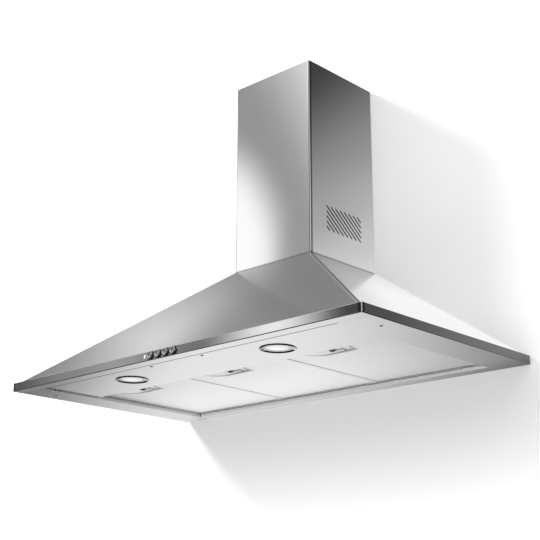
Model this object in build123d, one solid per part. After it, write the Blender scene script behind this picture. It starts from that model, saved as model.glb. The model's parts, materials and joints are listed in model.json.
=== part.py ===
from build123d import *
import os
from math import cos, hypot, radians, sin, sqrt

# Wall-mounted chimney range hood, 900 mm wide.
# Millimetres. X runs along the wall, -Y is the front, +Z is up.
# Heights are measured from the underside of the front band, and every part is
# lowered by HANGER_Z when it is written, so that the origin is the middle of the
# two wall holes on the wall plane.

# ---------------------------------------------------------------- canopy
WIDTH = 900.0
DEPTH = 488.0
SHEET = 1.0
BAND_HEIGHT = 17.0
LEDGE = 7.5
CANOPY_HEIGHT = 244.0
HIP_RADIUS = 3.0
BAND_CORNER_RADIUS = 4.5
EDGE_RADIUS = 1.4
FRONT_RETURN = 24.5
SIDE_RETURN = 71.0
REAR_RETURN = 29.5
RETURN_LIP = 6.3
RETURN_SEAM = 0.4

# ---------------------------------------------------------------- wall hangers
HANGER_DROP = 69.0
HANGER_SPACING = 260.0
HANGER_HOLE_RADIUS = 4.25
HANGER_PLATE = 2.0
HANGER_WIDTH = 44.0
HANGER_HEIGHT = 60.0

# ---------------------------------------------------------------- chimney
CHIMNEY_WIDTH = 207.0
CHIMNEY_DEPTH = 202.0
CHIMNEY_TOP = 659.0
CHIMNEY_SHEET = 1.0
CHIMNEY_BEND = 4.5
CHIMNEY_BACK_RETURN = 16.0
NESTING_GAP = 0.7
UPPER_LENGTH = 286.0
UPPER_DROP = 2.0
BRACKET_SHEET = 2.0
BRACKET_HEIGHT = 12.0
BRACKET_REACH = 60.0
UPPER_BRACKET_DROP = 18.0
STOP_GAP = 0.3

# ---------------------------------------------------------------- vent slots
VENT_FRONT_MARGIN = 49.0
VENT_BACK = 43.0
VENT_RISE = 58.0
VENT_HEIGHT = 52.0
VENT_SLOT_WIDTH = 3.2
VENT_LAST = 12.0
VENT_ANGLE = 38.0
VENT_TOP_COUNT = 8
VENT_FRONT_COUNT = 4

# ---------------------------------------------------------------- lamp panel and lamps
LAMP_PANEL_Z = 2.4
LAMP_PANEL_DEPTH = 139.9
PANEL_GAP = 0.6
PANEL_HEM = 6.0
PANEL_NOTCH = 5.0
LAMP_SHARE = 0.503
LAMP_BACK = 69.2
LAMP_RING_RADIUS = 32.0
LAMP_RING_THICKNESS = 2.0
LAMP_RING_ROUND = 1.6
LAMP_COLLAR_STEP = 3.5
LAMP_BEZEL_STEP = 6.5
LAMP_LENS_STEP = 10.5
LAMP_SEAT_WIDTH = 1.5
LAMP_SEAT_RISE = 3.2
LAMP_COLLAR_RISE = 5.0
LAMP_LENS_DOME = 1.2
LAMP_LENS_THICKNESS = 1.4
LAMP_CAN_HEIGHT = 30.0
LAMP_CAN_STRAIGHT = 6.0
LAMP_CAN_TAPER = 10.0
LAMP_CAN_WALL = 1.0
BULB_RADIUS = 5.0
BULB_LENGTH = 16.0

# ---------------------------------------------------------------- underside screws
PANEL_SCREW_CENTRE = -10.3
PANEL_SCREW_SPACING = 133.7
PANEL_SCREW_INSET = 19.5
FLANGE_SCREW_INSET = 30.1
FLANGE_SCREW_BACK = 86.8
SCREW_RADIUS = 1.75
SCREW_HEAD_RADIUS = 2.8
SCREW_HEAD_HEIGHT = 1.2
SCREW_LENGTH = 8.0
WIRE_CHANNEL_LENGTH = 300.0
WIRE_CHANNEL_WIDTH = 22.0
WIRE_CHANNEL_HEIGHT = 12.0

# ---------------------------------------------------------------- grease filters
FILTER_COUNT = 3
FILTER_SIDE_GAP = 1.3
FILTER_GAP = 1.2
FILTER_LIFT = 0.7
FILTER_THICKNESS = 9.0
FILTER_FRONT_GAP = 1.2
FILTER_REAR_GAP = 2.0
FILTER_SHEET = 0.6
FILTER_BORDER = 7.0
MESH_LAYERS = 3
MESH_SHEET = 0.6
TAB_WIDTH = 26.0
TAB_REACH = 8.0
TAB_THICKNESS = 1.5
TAB_X = 85.0

# ---------------------------------------------------------------- filter handles
HANDLE_RIM = 1.6
POCKET_LEFT = 75.0
POCKET_RIGHT = 27.0
POCKET_SLANT = 7.0
POCKET_DEPTH = 44.5
POCKET_CURVE = 36.0
POCKET_RIM = 2.0
POCKET_RISE = 4.6
POCKET_EDGE = 0.3
FINGER_LEFT = 29.0
FINGER_RIGHT = 2.0
FINGER_FRONT = 12.0
FINGER_BACK = 38.0
LATCH_X = -5.0
LATCH_WIDTH = 11.0
LATCH_THICKNESS = 1.6
LATCH_CLEAR = 0.4
LATCH_TRAVEL = 5.0
LATCH_Z = 3.2
LATCH_TIP_GAP = 0.5
LATCH_WALL_CLEAR = 0.3
LATCH_NOSE = 0.6
GRIP_WALL = 2.0
GRIP_DROP = 1.6

# ---------------------------------------------------------------- controls
BUTTON_RADIUS = 6.4
BUTTON_PITCH = 20.0
BUTTON_COUNT = 4
BUTTON_PROUD = 4.6
BUTTON_TRAVEL = 2.5
BUTTON_CLEAR = 0.3
BUTTON_FLANGE = 1.2
BUTTON_RIM = 0.8
BUTTON_DISH = 0.9
BUTTON_EDGE = 0.8
STEM_RADIUS = 2.0
STEM_LENGTH = 1.5
STEM_GAP = 0.4
INDICATOR_SPACING = 16.0
INDICATOR_WIDTH = 4.6
INDICATOR_HEIGHT = 6.8
HOUSING_WALL = 2.0
HOUSING_DEPTH = 17.0
HOUSING_MARGIN = 8.0
HOUSING_CLEAR = 0.4
SWITCH_SIZE = 6.0
PLUNGER = 1.5
BOARD_THICKNESS = 1.6
LENS_PROUD = 0.3
LENS_STOP = 1.5

# ---------------------------------------------------------------- blower
WHEEL_RADIUS = 72.0
BLADE_HEIGHT = 13.0
WHEEL_WIDTH = 116.0
WHEEL_RING = 2.0
WHEEL_CLEARANCE = 7.5
BLADE_COUNT = 36
BLADE_SWEEP = 9.0
BLADE_CAMBER = 2.6
BLADE_THICKNESS = 1.0
SCROLL_WIDTH = 140.0
SCROLL_STEP = 9.0
SCROLL_SHEET = 1.2
SCROLL_REAR = 38.0
SCROLL_TONGUE = 126.0
TONGUE_RADIUS = 6.0
SCROLL_DROP = 4.0
OUTLET_NECK = 20.5
SCROLL_FLANGE = 9.0
INLET_CLEAR = 4.0
INLET_LIP = 7.0
SHAFT_RADIUS = 4.0
SHAFT_CLEAR = 0.05
HUB_RADIUS = 12.0
HUB_BACK = 2.0
HUB_FRONT = 16.0
SHAFT_PROUD = 2.0
SHAFT_INSET = 6.0
MOTOR_RADIUS = 42.0
MOTOR_LENGTH = 52.0
MOTOR_INSET = 2.0
MOTOR_FINS = 16
FIN_HEIGHT = 5.0
FIN_ROOT = 3.0
FIN_WIDTH = 2.0
FIN_START = 5.0
FIN_STOP = 9.0
MOTOR_CHAMFER = 3.0
MOTOR_CROWN = 6.0
BEARING_RADIUS = 14.0
BEARING_LENGTH = 2.0
MOTOR_ARM_WIDTH = 14.0
MOTOR_ARM_REACH = 14.0
MOTOR_ARM_COUNT = 3
MOTOR_PLATE = 2.0
MOTOR_HUB_STEP = 6.0
MOTOR_HUB_WALL = 4.0
MOTOR_HOLE_CLEAR = 3.0
CAPACITOR_RADIUS = 12.0
CAPACITOR_LENGTH = 48.0
CAPACITOR_GAP = 3.0
CAPACITOR_SHARE = 0.4
CAPACITOR_BASE = 1.0
CAPACITOR_NECK = 3.0

# ---------------------------------------------------------------- duct collar and damper
SUPPORT_SHEET = 1.6
COLLAR_RADIUS = 75.0
COLLAR_WALL = 1.5
COLLAR_FLANGE = 10.0
COLLAR_FLANGE_THICKNESS = 2.0
COLLAR_TRANSITION = 28.0
COLLAR_LENGTH = 46.0
COLLAR_CORNER = 12.0
DAMPER_HEIGHT = 14.0
DAMPER_STOP = 2.0
DAMPER_GAP = 0.6
DAMPER_THICKNESS = 1.0
DAMPER_PIN_RADIUS = 1.5
DAMPER_KNUCKLE_RADIUS = 3.0
DAMPER_KNUCKLE_LENGTH = 14.0
DAMPER_KNUCKLE_GAP = 1.0
DAMPER_KNUCKLE_COUNT = 4
DAMPER_PIN_CLEAR = 0.06

# ---------------------------------------------------------------- electrics
JUNCTION_CLEAR = 10.0
JUNCTION_Z = 78.0
JUNCTION_SIZE = (110.0, 34.0, 64.0)
JUNCTION_WALL = 2.0
TERMINAL_SIZE = (60.0, 14.0, 18.0)
GLAND_RADIUS = 9.0
GLAND_INSET = 11.0
GLAND_BORE = 4.0
GLAND_NUT = 6.0
CABLE_HOLE_RADIUS = 7.0
TRANSFORMER_SIZE = (84.0, 40.0, 26.0)
EAR_LENGTH = 9.0

# ---------------------------------------------------------------- worked out from the sizes above
HALF = WIDTH / 2
SLOPE_RISE = CANOPY_HEIGHT - BAND_HEIGHT
SIDE_RUN = HALF - LEDGE - CHIMNEY_WIDTH / 2
FRONT_RUN = DEPTH - LEDGE - CHIMNEY_DEPTH
SIDE_OFFSET = SHEET * hypot(SLOPE_RISE, SIDE_RUN) / SLOPE_RISE
FRONT_OFFSET = SHEET * hypot(SLOPE_RISE, FRONT_RUN) / SLOPE_RISE
OPENING_HALF = HALF - SIDE_RETURN
OPENING_FRONT = DEPTH - FRONT_RETURN
CENTRE_Y = -CHIMNEY_DEPTH / 2
HANGER_Z = CANOPY_HEIGHT - HANGER_DROP
VENT_FRONT = CHIMNEY_DEPTH - VENT_FRONT_MARGIN
VENT_BOTTOM = CANOPY_HEIGHT + VENT_RISE
VENT_TOP = VENT_BOTTOM + VENT_HEIGHT
VENT_PITCH = (VENT_FRONT - VENT_BACK - VENT_LAST) / (VENT_TOP_COUNT - 1)
LAMP_PANEL_REAR = OPENING_FRONT - LAMP_PANEL_DEPTH
LAMP_X = OPENING_HALF * LAMP_SHARE
LAMP_Y = LAMP_PANEL_REAR + LAMP_BACK
LAMP_HOLE_RADIUS = LAMP_RING_RADIUS - LAMP_COLLAR_STEP
LAMP_BEZEL_RADIUS = LAMP_RING_RADIUS - LAMP_BEZEL_STEP
LAMP_LENS_RADIUS = LAMP_RING_RADIUS - LAMP_LENS_STEP
LAMP_CAN_RADIUS = LAMP_HOLE_RADIUS - LAMP_CAN_WALL
LAMP_CAN_BASE = LAMP_PANEL_Z + LAMP_COLLAR_RISE
PANEL_SCREW_Y = OPENING_FRONT - PANEL_SCREW_INSET
FLANGE_SCREW_X = HALF - FLANGE_SCREW_INSET
FLANGE_SCREW_Y = DEPTH - FLANGE_SCREW_BACK
FILTER_WIDTH = (2 * OPENING_HALF - 2 * FILTER_SIDE_GAP - (FILTER_COUNT - 1) * FILTER_GAP) / FILTER_COUNT
FILTER_PITCH = FILTER_WIDTH + FILTER_GAP
FILTER_Z = RETURN_LIP + FILTER_LIFT
FILTER_TOP = FILTER_Z + FILTER_THICKNESS
FILTER_FRONT = LAMP_PANEL_REAR - FILTER_FRONT_GAP
FILTER_REAR = REAR_RETURN + FILTER_REAR_GAP
LATCH_FLOOR = FILTER_Z + LATCH_Z
LATCH_WALL_TOP = LATCH_FLOOR - LATCH_WALL_CLEAR
BUTTON_Z = BAND_HEIGHT / 2
BUTTON_SEAT = SHEET + HOUSING_WALL
UPPER_TOP = CHIMNEY_TOP - UPPER_DROP
UPPER_BOTTOM = UPPER_TOP - UPPER_LENGTH
WHEEL_INNER_RADIUS = WHEEL_RADIUS - BLADE_HEIGHT
INLET_RADIUS = WHEEL_INNER_RADIUS - INLET_CLEAR
WHEEL_Y = -SCROLL_REAR - WHEEL_RADIUS - WHEEL_CLEARANCE - 3 * SCROLL_STEP
SCROLL_RADIUS = WHEEL_RADIUS + WHEEL_CLEARANCE + SCROLL_STEP / 2
SCROLL_TOP = CANOPY_HEIGHT - SCROLL_DROP
WHEEL_Z = SCROLL_TOP - SCROLL_RADIUS - OUTLET_NECK
COLLAR_BASE = SCROLL_TOP + SUPPORT_SHEET
COLLAR_TOP = COLLAR_BASE + COLLAR_TRANSITION + COLLAR_LENGTH
DAMPER_Z = COLLAR_BASE + COLLAR_TRANSITION + DAMPER_HEIGHT
JUNCTION_X = -SCROLL_WIDTH / 2 - JUNCTION_CLEAR - JUNCTION_SIZE[0] / 2
GLAND_X = -SCROLL_WIDTH / 2 - JUNCTION_CLEAR - GLAND_INSET
GLAND_Y = -SHEET - JUNCTION_SIZE[1] / 2


# ---------------------------------------------------------------- helpers
def block(x0, x1, y0, y1, z0, z1):
    """Box between two corners."""
    centre = Pos((x0 + x1) / 2, (y0 + y1) / 2, (z0 + z1) / 2)
    return centre * Box(abs(x1 - x0), abs(y1 - y0), abs(z1 - z0))


def rod(radius, length):
    """Round bar standing on the XY plane."""
    return extrude(Circle(radius), length)


def turned(points):
    """Solid turned about Z from (radius, height) points."""
    outline = Polyline(*[(r, 0, h) for r, h in points], close=True)
    return revolve(make_face(outline), Axis.Z)


def along_x(shape):
    """Turn +Z to +X."""
    return Rot(0, 90, 0) * shape


def to_front(shape):
    """Turn +Z to the front, -Y."""
    return Rot(90, 0, 0) * shape


def rod_x(radius, x0, x1, y, z):
    """Round bar along X."""
    return Pos(x0, y, z) * along_x(rod(radius, x1 - x0))


def mirrored(shape):
    """The same shape on the other side of the hood."""
    return mirror(shape, about=Plane.YZ)


def save(name, *shapes):
    """Write one part, measured from the wall holes."""
    placed = [Pos(0, 0, -HANGER_Z) * shape for shape in shapes]
    body = placed[0] if len(placed) == 1 else Compound(children=placed)
    export_step(body, f"parts/{name}.step")


# ---------------------------------------------------------------- canopy
def side_at(z):
    """Half width of the slopes at a height."""
    return HALF - LEDGE - (z - BAND_HEIGHT) * SIDE_RUN / SLOPE_RISE


def front_at(z):
    """Distance of the front slope from the wall at a height."""
    return DEPTH - LEDGE - (z - BAND_HEIGHT) * FRONT_RUN / SLOPE_RISE


def pyramid(z0, z1, side_inset, front_inset):
    """Straight-backed pyramid between two heights, inset from the outer slopes."""
    faces = []
    for z in (z0, z1):
        depth = front_at(z) - front_inset
        faces.append(Pos(0, -depth / 2, z) * Rectangle(2 * (side_at(z) - side_inset), depth))
    return loft(faces)


def canopy_outside():
    """Band and slopes as one solid with rounded hips and corners."""
    slopes = pyramid(BAND_HEIGHT, CANOPY_HEIGHT, 0, 0)
    hips = [e for e in slopes.edges() if e.center().Y < -1 and abs((e @ 1 - e @ 0).Z) > 1]
    slopes = fillet(hips, HIP_RADIUS)
    band = block(-HALF, HALF, -DEPTH, 0, 0, BAND_HEIGHT)
    corners = [e for e in band.edges().filter_by(Axis.Z) if e.center().Y < -1]
    band = fillet(corners, BAND_CORNER_RADIUS)
    rims = [e for e in band.edges() if abs((e @ 1 - e @ 0).Z) < 0.1 and e.center().Y < -1]
    band = fillet(rims, EDGE_RADIUS)
    return band + slopes


def canopy_shell():
    """Sheet canopy, open at the back, at the top and over the filters."""
    band_room = block(SHEET - HALF, HALF - SHEET, SHEET - DEPTH, 1, SHEET, BAND_HEIGHT - SHEET)
    corners = [e for e in band_room.edges().filter_by(Axis.Z) if e.center().Y < -1]
    band_room = fillet(corners, BAND_CORNER_RADIUS - SHEET)
    slope_room = pyramid(BAND_HEIGHT - 2 * SHEET, CANOPY_HEIGHT + 1, SIDE_OFFSET, FRONT_OFFSET)
    behind = block(-HALF, HALF, 0, 2, SHEET, CANOPY_HEIGHT + 1)
    mouth = block(-OPENING_HALF, OPENING_HALF, -OPENING_FRONT, 1, -1, 2 * SHEET)
    return canopy_outside() - band_room - slope_room - behind - mouth


def hip_x(y):
    """X of the hip seam at a given distance from the wall."""
    run = (-CHIMNEY_DEPTH - y) * SIDE_RUN / FRONT_RUN
    return CHIMNEY_WIDTH / 2 + run


def front_zone(gap):
    """Space that holds the front panel: ahead of both hips, and the front return."""
    near = -DEPTH - 1
    far = -CHIMNEY_DEPTH + 20
    corners = [(hip_x(near), near), (-hip_x(near), near), (-hip_x(far), far), (hip_x(far), far)]
    wedge = extrude(Pos(0, 0, SHEET) * make_face(Polyline(*corners, close=True)), CANOPY_HEIGHT)
    strip = block(-HALF - 1, HALF + 1, near, gap - OPENING_FRONT, -1, SHEET)
    return wedge + strip


def canopy_front(shell):
    """Front slope, band and return strip, with the holes for the controls."""
    panel = shell & front_zone(0)
    lip = block(-OPENING_HALF + 1, OPENING_HALF - 1, -OPENING_FRONT - SHEET, -OPENING_FRONT, 0, RETURN_LIP)
    panel = panel + lip
    for x in button_places():
        panel -= Pos(x, SHEET + 1 - DEPTH, BUTTON_Z) * to_front(rod(BUTTON_RADIUS + BUTTON_CLEAR, SHEET + 2))
    panel -= indicator_window()
    return panel


def canopy_side(shell):
    """Right slope, band and flange, with the lip that the lamp panel hooks over."""
    panel = (shell - front_zone(RETURN_SEAM)) & block(0, HALF + 1, -DEPTH - 1, 0, -1, CANOPY_HEIGHT + 1)
    lip = block(OPENING_HALF, OPENING_HALF + SHEET, RETURN_SEAM - OPENING_FRONT, 0, 0, RETURN_LIP)
    hole = Pos(FLANGE_SCREW_X, -FLANGE_SCREW_Y, -1) * rod(SCREW_RADIUS, SHEET + 2)
    return panel + lip - hole


def back_panel():
    """Wall-side sheet with its forward flange, lip and the two hanging holes."""
    low = side_at(BAND_HEIGHT) - SIDE_OFFSET
    high = side_at(CANOPY_HEIGHT) - SIDE_OFFSET
    outline = [(-low, BAND_HEIGHT), (-high, CANOPY_HEIGHT), (high, CANOPY_HEIGHT), (low, BAND_HEIGHT)]
    face = make_face(Polyline(*[(x, 0, z) for x, z in outline], close=True))
    sheet = extrude(face, SHEET, dir=(0, -1, 0))
    inside = OPENING_HALF
    sheet += block(-HALF + SHEET, HALF - SHEET, -SHEET, 0, SHEET, BAND_HEIGHT - SHEET)
    sheet += block(-low, low, -SHEET, 0, BAND_HEIGHT - SHEET, BAND_HEIGHT)
    sheet -= block(inside, HALF, -2 * SHEET, 1, -1, RETURN_LIP + 0.2)
    sheet -= block(-HALF, -inside, -2 * SHEET, 1, -1, RETURN_LIP + 0.2)
    sheet += block(-inside, inside, -REAR_RETURN, 0, 0, SHEET)
    sheet += block(1 - inside, inside - 1, -REAR_RETURN, SHEET - REAR_RETURN, 0, RETURN_LIP)
    for x in hanger_places():
        sheet -= Pos(x, 1, HANGER_Z) * to_front(rod(HANGER_HOLE_RADIUS, 4 * SHEET))
    return sheet


def hanger_places():
    return (-HANGER_SPACING / 2, HANGER_SPACING / 2)


def wall_hangers():
    """Two doubling plates that carry the weight at the wall holes."""
    plates = []
    for x in hanger_places():
        plate = Pos(x, -SHEET, HANGER_Z) * to_front(
            extrude(RectangleRounded(HANGER_WIDTH, HANGER_HEIGHT, 5), HANGER_PLATE))
        hole = Pos(x, 1, HANGER_Z) * to_front(rod(HANGER_HOLE_RADIUS, HANGER_PLATE + 3 * SHEET))
        plates.append(plate - hole)
    return plates


# ---------------------------------------------------------------- chimney
def channel(width, depth, bend, sheet, z0, z1, back_gap):
    """Three-sided sheet duct with two narrow returns along the wall."""
    rear = -back_gap
    outer = block(-width / 2, width / 2, -depth, rear, z0, z1)
    corners = [e for e in outer.edges().filter_by(Axis.Z) if e.center().Y < rear - 1]
    outer = fillet(corners, bend)
    inner = block(sheet - width / 2, width / 2 - sheet, sheet - depth, rear - sheet, z0 - 1, z1 + 1)
    corners = [e for e in inner.edges().filter_by(Axis.Z) if e.center().Y < rear - sheet - 1]
    inner = fillet(corners, bend - sheet)
    open_half = width / 2 - CHIMNEY_BACK_RETURN
    return outer - inner - block(-open_half, open_half, -2 * sheet + rear, 1, z0 - 1, z1 + 1)


def vent_cutter():
    """Slanting round-ended slots, clipped by their window on the side wall."""
    down = radians(VENT_ANGLE)
    step_z = VENT_PITCH * sin(down) / cos(down)
    starts = [(-VENT_FRONT + VENT_PITCH * i, VENT_TOP) for i in range(VENT_TOP_COUNT)]
    starts += [(-VENT_FRONT, VENT_TOP - step_z * (i + 1)) for i in range(VENT_FRONT_COUNT)]
    slots = []
    for y, z in starts:
        reach = min((-VENT_BACK - y) / cos(down), (z - VENT_BOTTOM) / sin(down))
        if reach < 2 * VENT_SLOT_WIDTH:
            continue
        middle = Pos(0, y + reach / 2 * cos(down), z - reach / 2 * sin(down))
        slot = Plane.YZ * Rot(0, 0, -VENT_ANGLE) * SlotOverall(reach, VENT_SLOT_WIDTH)
        slots.append(middle * extrude(slot, WIDTH / 2))
    return slots


def lower_chimney():
    """Visible section with the vent slots in both sides."""
    duct = channel(CHIMNEY_WIDTH, CHIMNEY_DEPTH, CHIMNEY_BEND, CHIMNEY_SHEET, CANOPY_HEIGHT, CHIMNEY_TOP, 0)
    slots = vent_cutter()
    duct = duct - slots
    return duct - [mirrored(s) for s in slots]


def upper_chimney():
    """Section that slides up out of the lower one."""
    shrink = CHIMNEY_SHEET + NESTING_GAP
    return channel(CHIMNEY_WIDTH - 2 * shrink, CHIMNEY_DEPTH - shrink, CHIMNEY_BEND - shrink,
                   CHIMNEY_SHEET, UPPER_BOTTOM, UPPER_TOP, shrink)


def chimney_bracket(half, rear, top):
    """Bent strip that stands across the back of a chimney section, with two arms."""
    bottom = top - BRACKET_HEIGHT
    strip = block(-half, half, -rear - BRACKET_SHEET, -rear, bottom, top)
    for side in (-1, 1):
        strip += block(side * half, side * (half - BRACKET_SHEET), -BRACKET_REACH, -rear, bottom, top)
    return strip


def lower_bracket():
    half = CHIMNEY_WIDTH / 2 - CHIMNEY_SHEET
    return chimney_bracket(half, CHIMNEY_SHEET, UPPER_BOTTOM - STOP_GAP)


def upper_bracket():
    inset = 2 * CHIMNEY_SHEET + NESTING_GAP
    return chimney_bracket(CHIMNEY_WIDTH / 2 - inset, inset, UPPER_TOP - UPPER_BRACKET_DROP)


# ---------------------------------------------------------------- lamp panel and lamps
def lamp_places():
    return (-LAMP_X, LAMP_X)


def panel_screw_places():
    half = PANEL_SCREW_SPACING / 2
    return (PANEL_SCREW_CENTRE - half, PANEL_SCREW_CENTRE + half)


def lamp_panel():
    """Folded panel that hooks over the lips of the canopy and carries the lamps."""
    half = OPENING_HALF - PANEL_GAP
    front = -OPENING_FRONT + PANEL_GAP
    rear = -LAMP_PANEL_REAR
    top = RETURN_LIP + SHEET
    panel = block(-half, half, front, rear, LAMP_PANEL_Z, LAMP_PANEL_Z + SHEET)
    panel += block(-half, half, rear - SHEET, rear, LAMP_PANEL_Z, LATCH_WALL_TOP)
    panel += block(-half, half, front, front + SHEET, LAMP_PANEL_Z, top)
    panel += block(-half, half, front - PANEL_HEM, front + SHEET, RETURN_LIP, top)
    for side in (-1, 1):
        panel += block(side * half, side * (half - SHEET), front, rear, LAMP_PANEL_Z, top)
        panel += block(side * (half - SHEET), side * (half + PANEL_HEM), front, rear, RETURN_LIP, top)
        panel -= block(side * (half - PANEL_NOTCH), side * (half + PANEL_HEM + 1),
                       front - PANEL_HEM - 1, front + PANEL_NOTCH, 0, top + 1)
    for x in panel_screw_places():
        panel -= Pos(x, -PANEL_SCREW_Y, 0) * rod(SCREW_RADIUS, LAMP_PANEL_Z + SHEET + 1)
    for x in lamp_places():
        panel -= Pos(x, -LAMP_Y, 0) * rod(LAMP_HOLE_RADIUS, LAMP_PANEL_Z + 2 * SHEET)
    return panel


def lamp_ring():
    """Bezel: a rounded flange under the panel and a collar through its hole."""
    face = LAMP_PANEL_Z
    low = face - LAMP_RING_THICKNESS
    seat = face + LAMP_SEAT_RISE
    collar = LAMP_HOLE_RADIUS - 0.2
    return turned([
        (LAMP_RING_RADIUS, face), (LAMP_RING_RADIUS, face - LAMP_RING_ROUND / 2),
        (LAMP_RING_RADIUS - LAMP_RING_ROUND, low), (LAMP_BEZEL_RADIUS + 1.2, low),
        (LAMP_BEZEL_RADIUS, low + 0.9), (LAMP_LENS_RADIUS, face + 0.6), (LAMP_LENS_RADIUS, seat),
        (LAMP_LENS_RADIUS + LAMP_SEAT_WIDTH, seat), (LAMP_LENS_RADIUS + LAMP_SEAT_WIDTH, LAMP_CAN_BASE),
        (collar, LAMP_CAN_BASE), (collar, face)])


def lamp_lens():
    """Frosted disc, slightly domed, that lies on the bezel's inner step."""
    seat = LAMP_PANEL_Z + LAMP_SEAT_RISE
    rim = LAMP_LENS_RADIUS + LAMP_SEAT_WIDTH - 0.1
    top = seat + LAMP_LENS_THICKNESS
    return turned([
        (0, seat - LAMP_LENS_DOME), (LAMP_LENS_RADIUS * 0.55, seat - LAMP_LENS_DOME * 0.75),
        (LAMP_LENS_RADIUS - 0.4, seat), (rim, seat), (rim, top), (0, top)])


def lamp_can():
    """Pressed cup that stands on the bezel collar and reflects the lamp's light."""
    base = LAMP_CAN_BASE
    knee = base + LAMP_CAN_STRAIGHT
    top = base + LAMP_CAN_HEIGHT
    wall = LAMP_CAN_WALL
    crown = LAMP_CAN_RADIUS - LAMP_CAN_TAPER
    return turned([
        (LAMP_CAN_RADIUS, base), (LAMP_CAN_RADIUS, knee), (crown, top), (BULB_RADIUS - 1, top),
        (BULB_RADIUS - 1, top - wall), (crown - wall, top - wall), (LAMP_CAN_RADIUS - wall, knee),
        (LAMP_CAN_RADIUS - wall, base)])


def lamp_bulb():
    """Halogen capsule held in the neck of the can, pins up."""
    neck = LAMP_CAN_BASE + LAMP_CAN_HEIGHT
    tip = neck - LAMP_CAN_WALL - BULB_LENGTH
    return turned([
        (0, tip), (BULB_RADIUS * 0.6, tip + 0.8), (BULB_RADIUS, tip + 3),
        (BULB_RADIUS, neck - LAMP_CAN_WALL), (BULB_RADIUS - 1, neck - LAMP_CAN_WALL),
        (BULB_RADIUS - 1, neck + 3), (0, neck + 3)])


def wire_channel():
    """Inverted channel over the lamp leads, screwed down on the lamp panel."""
    z = LAMP_PANEL_Z + SHEET
    half = WIRE_CHANNEL_LENGTH / 2
    width = WIRE_CHANNEL_WIDTH / 2
    outer = block(-half, half, -PANEL_SCREW_Y - width, -PANEL_SCREW_Y + width, z, z + WIRE_CHANNEL_HEIGHT)
    hollow = block(-half - 1, half + 1, -PANEL_SCREW_Y - width + SHEET, -PANEL_SCREW_Y + width - SHEET,
                   z - 1, z + WIRE_CHANNEL_HEIGHT - SHEET)
    channel_body = outer - hollow
    for x in panel_screw_places():
        place = Pos(x, -PANEL_SCREW_Y, z)
        channel_body += place * rod(SCREW_RADIUS + 2, WIRE_CHANNEL_HEIGHT - SHEET)
        channel_body -= place * rod(SCREW_RADIUS, WIRE_CHANNEL_HEIGHT + 1)
    return channel_body


def underside_screw(x, y, seat):
    """Pan-head screw driven up from below, its head under the sheet."""
    body = turned([
        (0, -SCREW_HEAD_HEIGHT), (SCREW_HEAD_RADIUS * 0.6, -SCREW_HEAD_HEIGHT),
        (SCREW_HEAD_RADIUS, -SCREW_HEAD_HEIGHT * 0.35), (SCREW_HEAD_RADIUS, 0),
        (SCREW_RADIUS, 0), (SCREW_RADIUS, SCREW_LENGTH), (0, SCREW_LENGTH)])
    return Pos(x, y, seat) * body


def underside_screws():
    screws = [underside_screw(x, -PANEL_SCREW_Y, LAMP_PANEL_Z) for x in panel_screw_places()]
    for x in (-FLANGE_SCREW_X, FLANGE_SCREW_X):
        screws.append(underside_screw(x, -FLANGE_SCREW_Y, 0))
    return screws


# ---------------------------------------------------------------- grease filters
def handle_outline(grow, front):
    """Plan of the handle: square at its right end, curved at its left, grown by a rim."""
    back = POCKET_DEPTH - FILTER_FRONT + grow
    left = -POCKET_LEFT - grow
    right = POCKET_RIGHT + grow
    outline = make_face(Polyline(
        (left, front), (right, front), (right - POCKET_SLANT, back), (left, back), close=True))
    rear_left = outline.vertices().sort_by(Axis.X)[0:2].sort_by(Axis.Y)[-1]
    return fillet(rear_left, POCKET_CURVE + grow)


def handle_room():
    """Space that the handle fills at the front edge of a filter centred on X = 0."""
    outline = handle_outline(HANDLE_RIM, -FILTER_FRONT)
    return Pos(0, 0, FILTER_Z) * extrude(outline, FILTER_THICKNESS)


def mesh_room():
    """Inside of the filter channel."""
    half = FILTER_WIDTH / 2 - FILTER_SHEET
    return block(-half, half, FILTER_SHEET - FILTER_FRONT, -FILTER_SHEET - FILTER_REAR,
                 FILTER_Z + FILTER_SHEET, FILTER_TOP - FILTER_SHEET)


def filter_frame():
    """Rolled channel round the mesh, with two tongues that rest on the rear lip."""
    half = FILTER_WIDTH / 2
    frame = block(-half, half, -FILTER_FRONT, -FILTER_REAR, FILTER_Z, FILTER_TOP)
    frame -= block(FILTER_BORDER - half, half - FILTER_BORDER, FILTER_BORDER - FILTER_FRONT,
                   -FILTER_BORDER - FILTER_REAR, FILTER_Z - 1, FILTER_TOP + 1)
    frame = frame - mesh_room() - handle_room()
    for side in (-1, 1):
        x = side * TAB_X
        frame += block(x - TAB_WIDTH / 2, x + TAB_WIDTH / 2, -FILTER_REAR - FILTER_SHEET,
                       TAB_REACH - FILTER_REAR, RETURN_LIP, RETURN_LIP + TAB_THICKNESS)
    return frame


def filter_mesh():
    """Layers of expanded mesh held apart in the channel, cut away round the handle."""
    half = FILTER_WIDTH / 2 - FILTER_SHEET
    low = FILTER_Z + FILTER_SHEET
    step = (FILTER_THICKNESS - 2 * FILTER_SHEET - MESH_SHEET) / (MESH_LAYERS - 1)
    layers = []
    for i in range(MESH_LAYERS):
        z = low + step * i
        layers.append(block(-half, half, FILTER_SHEET - FILTER_FRONT, -FILTER_SHEET - FILTER_REAR,
                            z, z + MESH_SHEET) - handle_room())
    return layers


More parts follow.
